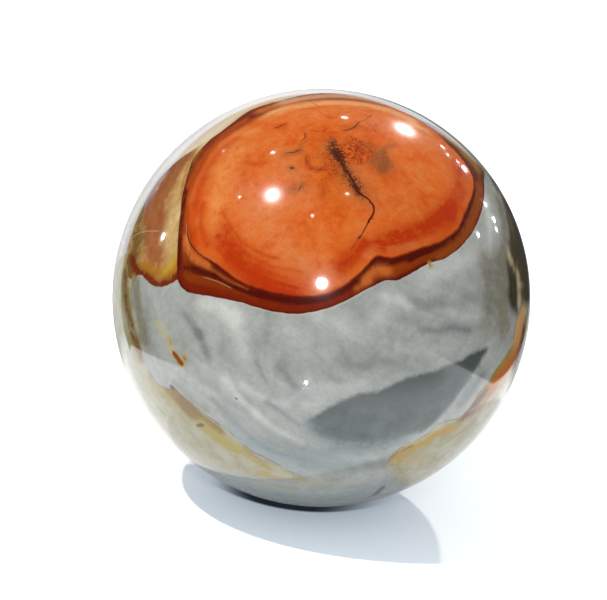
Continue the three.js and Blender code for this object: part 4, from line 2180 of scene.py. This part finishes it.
@dataclass(frozen=True)
class Bloom:
    """The small spread of the brightest highlights, as a lens makes it."""

    threshold: float = 1.8
    brightest: float = 40.0
    strength: float = 0.3
    size: float = 0.4

    def build(self) -> None:
        """Adds the spread to the finished picture."""
        scene = bpy.context.scene
        scene.use_nodes = True
        tree = scene.node_tree
        tree.nodes.clear()
        layers = tree.nodes.new("CompositorNodeRLayers")
        glare = tree.nodes.new("CompositorNodeGlare")
        glare.glare_type = "BLOOM"
        glare.inputs["Threshold"].default_value = self.threshold
        glare.inputs["Maximum"].default_value = self.brightest
        glare.inputs["Strength"].default_value = self.strength
        glare.inputs["Size"].default_value = self.size
        output = tree.nodes.new("CompositorNodeComposite")
        tree.links.new(layers.outputs["Image"], glare.inputs["Image"])
        tree.links.new(glare.outputs["Image"], output.inputs["Image"])


@dataclass(frozen=True)
class Studio:
    """The pale floor, the room and the lamps round the stone.

    The stone stands on a white sheet in a dark room with a white backdrop. The room's soft light reaches
    everything, and the dark parts show in mirrored rays alone.
    """

    camera: PhotoCamera
    room_dark: Colour = (0.03, 0.03, 0.03, 1.0)
    lamps: tuple[Lamp, ...] = (
        Lamp("lamp_high_left", (272.5, 194.9), 269.0, 0.75, 0.013, (1.0, 0.98, 0.95)),
        Lamp("lamp_behind_right", (404.8, 129.2), 18.6, 0.36, 0.018, (1.0, 0.94, 0.87)),
        Lamp("lamp_by_camera", (321.7, 283.4), 19.9, 0.11, 0.043, (0.93, 0.95, 1.0)),
        Lamp("window_right", (464.5, 168.7), 19.0, 0.006, 0.014),
        Lamp("window_left", (163.2, 236.4), 12.0, 0.004, 0.022),
        Lamp("bulb_back_left", (273.0, 152.5), 19.0, 0.004, 0.012),
        Lamp("bulb_overhead", (347.4, 193.7), 19.0, 0.003, 0.011, (1.0, 0.95, 0.84)),
        Lamp("bulb_back", (344.4, 117.5), 19.0, 0.004, 0.013, (1.0, 0.95, 0.88)),
        Lamp("bulb_front", (312.1, 215.5), 19.0, 0.003, 0.009, (1.0, 0.92, 0.78)),
        Lamp("bulb_left", (239.6, 196.9), 19.0, 0.002, 0.009, (1.0, 0.95, 0.88)),
        Lamp("bulb_far_left", (223.8, 150.7), 19.0, 0.0006, 0.005, (1.0, 0.96, 0.9)),
        Lamp("bulb_right", (478.0, 234.5), 19.0, 0.004, 0.014),
        Lamp("bulb_right_high", (494.1, 219.8), 19.0, 0.003, 0.01),
        Lamp("bulb_right_back", (485.4, 204.1), 19.0, 0.002, 0.01),
        Lamp("bulb_right_low", (496.2, 229.1), 19.0, 0.002, 0.009, (0.7, 0.72, 1.0)),
        Lamp("star_low", (306.0, 382.8), 1.7, 0.0006, 0.014, (0.75, 0.9, 1.0)),
        Lamp("glint_high", (442.6, 147.0), 19.0, 0.0008, 0.006),
        Lamp("glint_middle", (447.8, 154.8), 19.0, 0.0008, 0.006),
        Lamp("glint_low", (457.8, 161.7), 19.0, 0.0004, 0.004),
    )

    def build(self) -> None:
        """Makes the floor, the room, the lamps and the bloom of the highlights."""
        PaleFloor(self.camera.ball, self.room_dark).build()
        Room(self.room_dark).build()
        for lamp in self.lamps:
            lamp.place(self.camera)
        Bloom().build()
        bpy.context.scene.view_settings.view_transform = "Standard"


def main() -> None:
    """Builds the camera, the studio and the stone."""
    logging.basicConfig(level=logging.INFO, format="%(message)s")
    ball = Ball.of_node(NODE)
    camera = PhotoCamera(ball)
    camera.place()
    Studio(camera).build()
    StoneSphere(ball, camera).build()


if __name__ == "__main__":
    main()
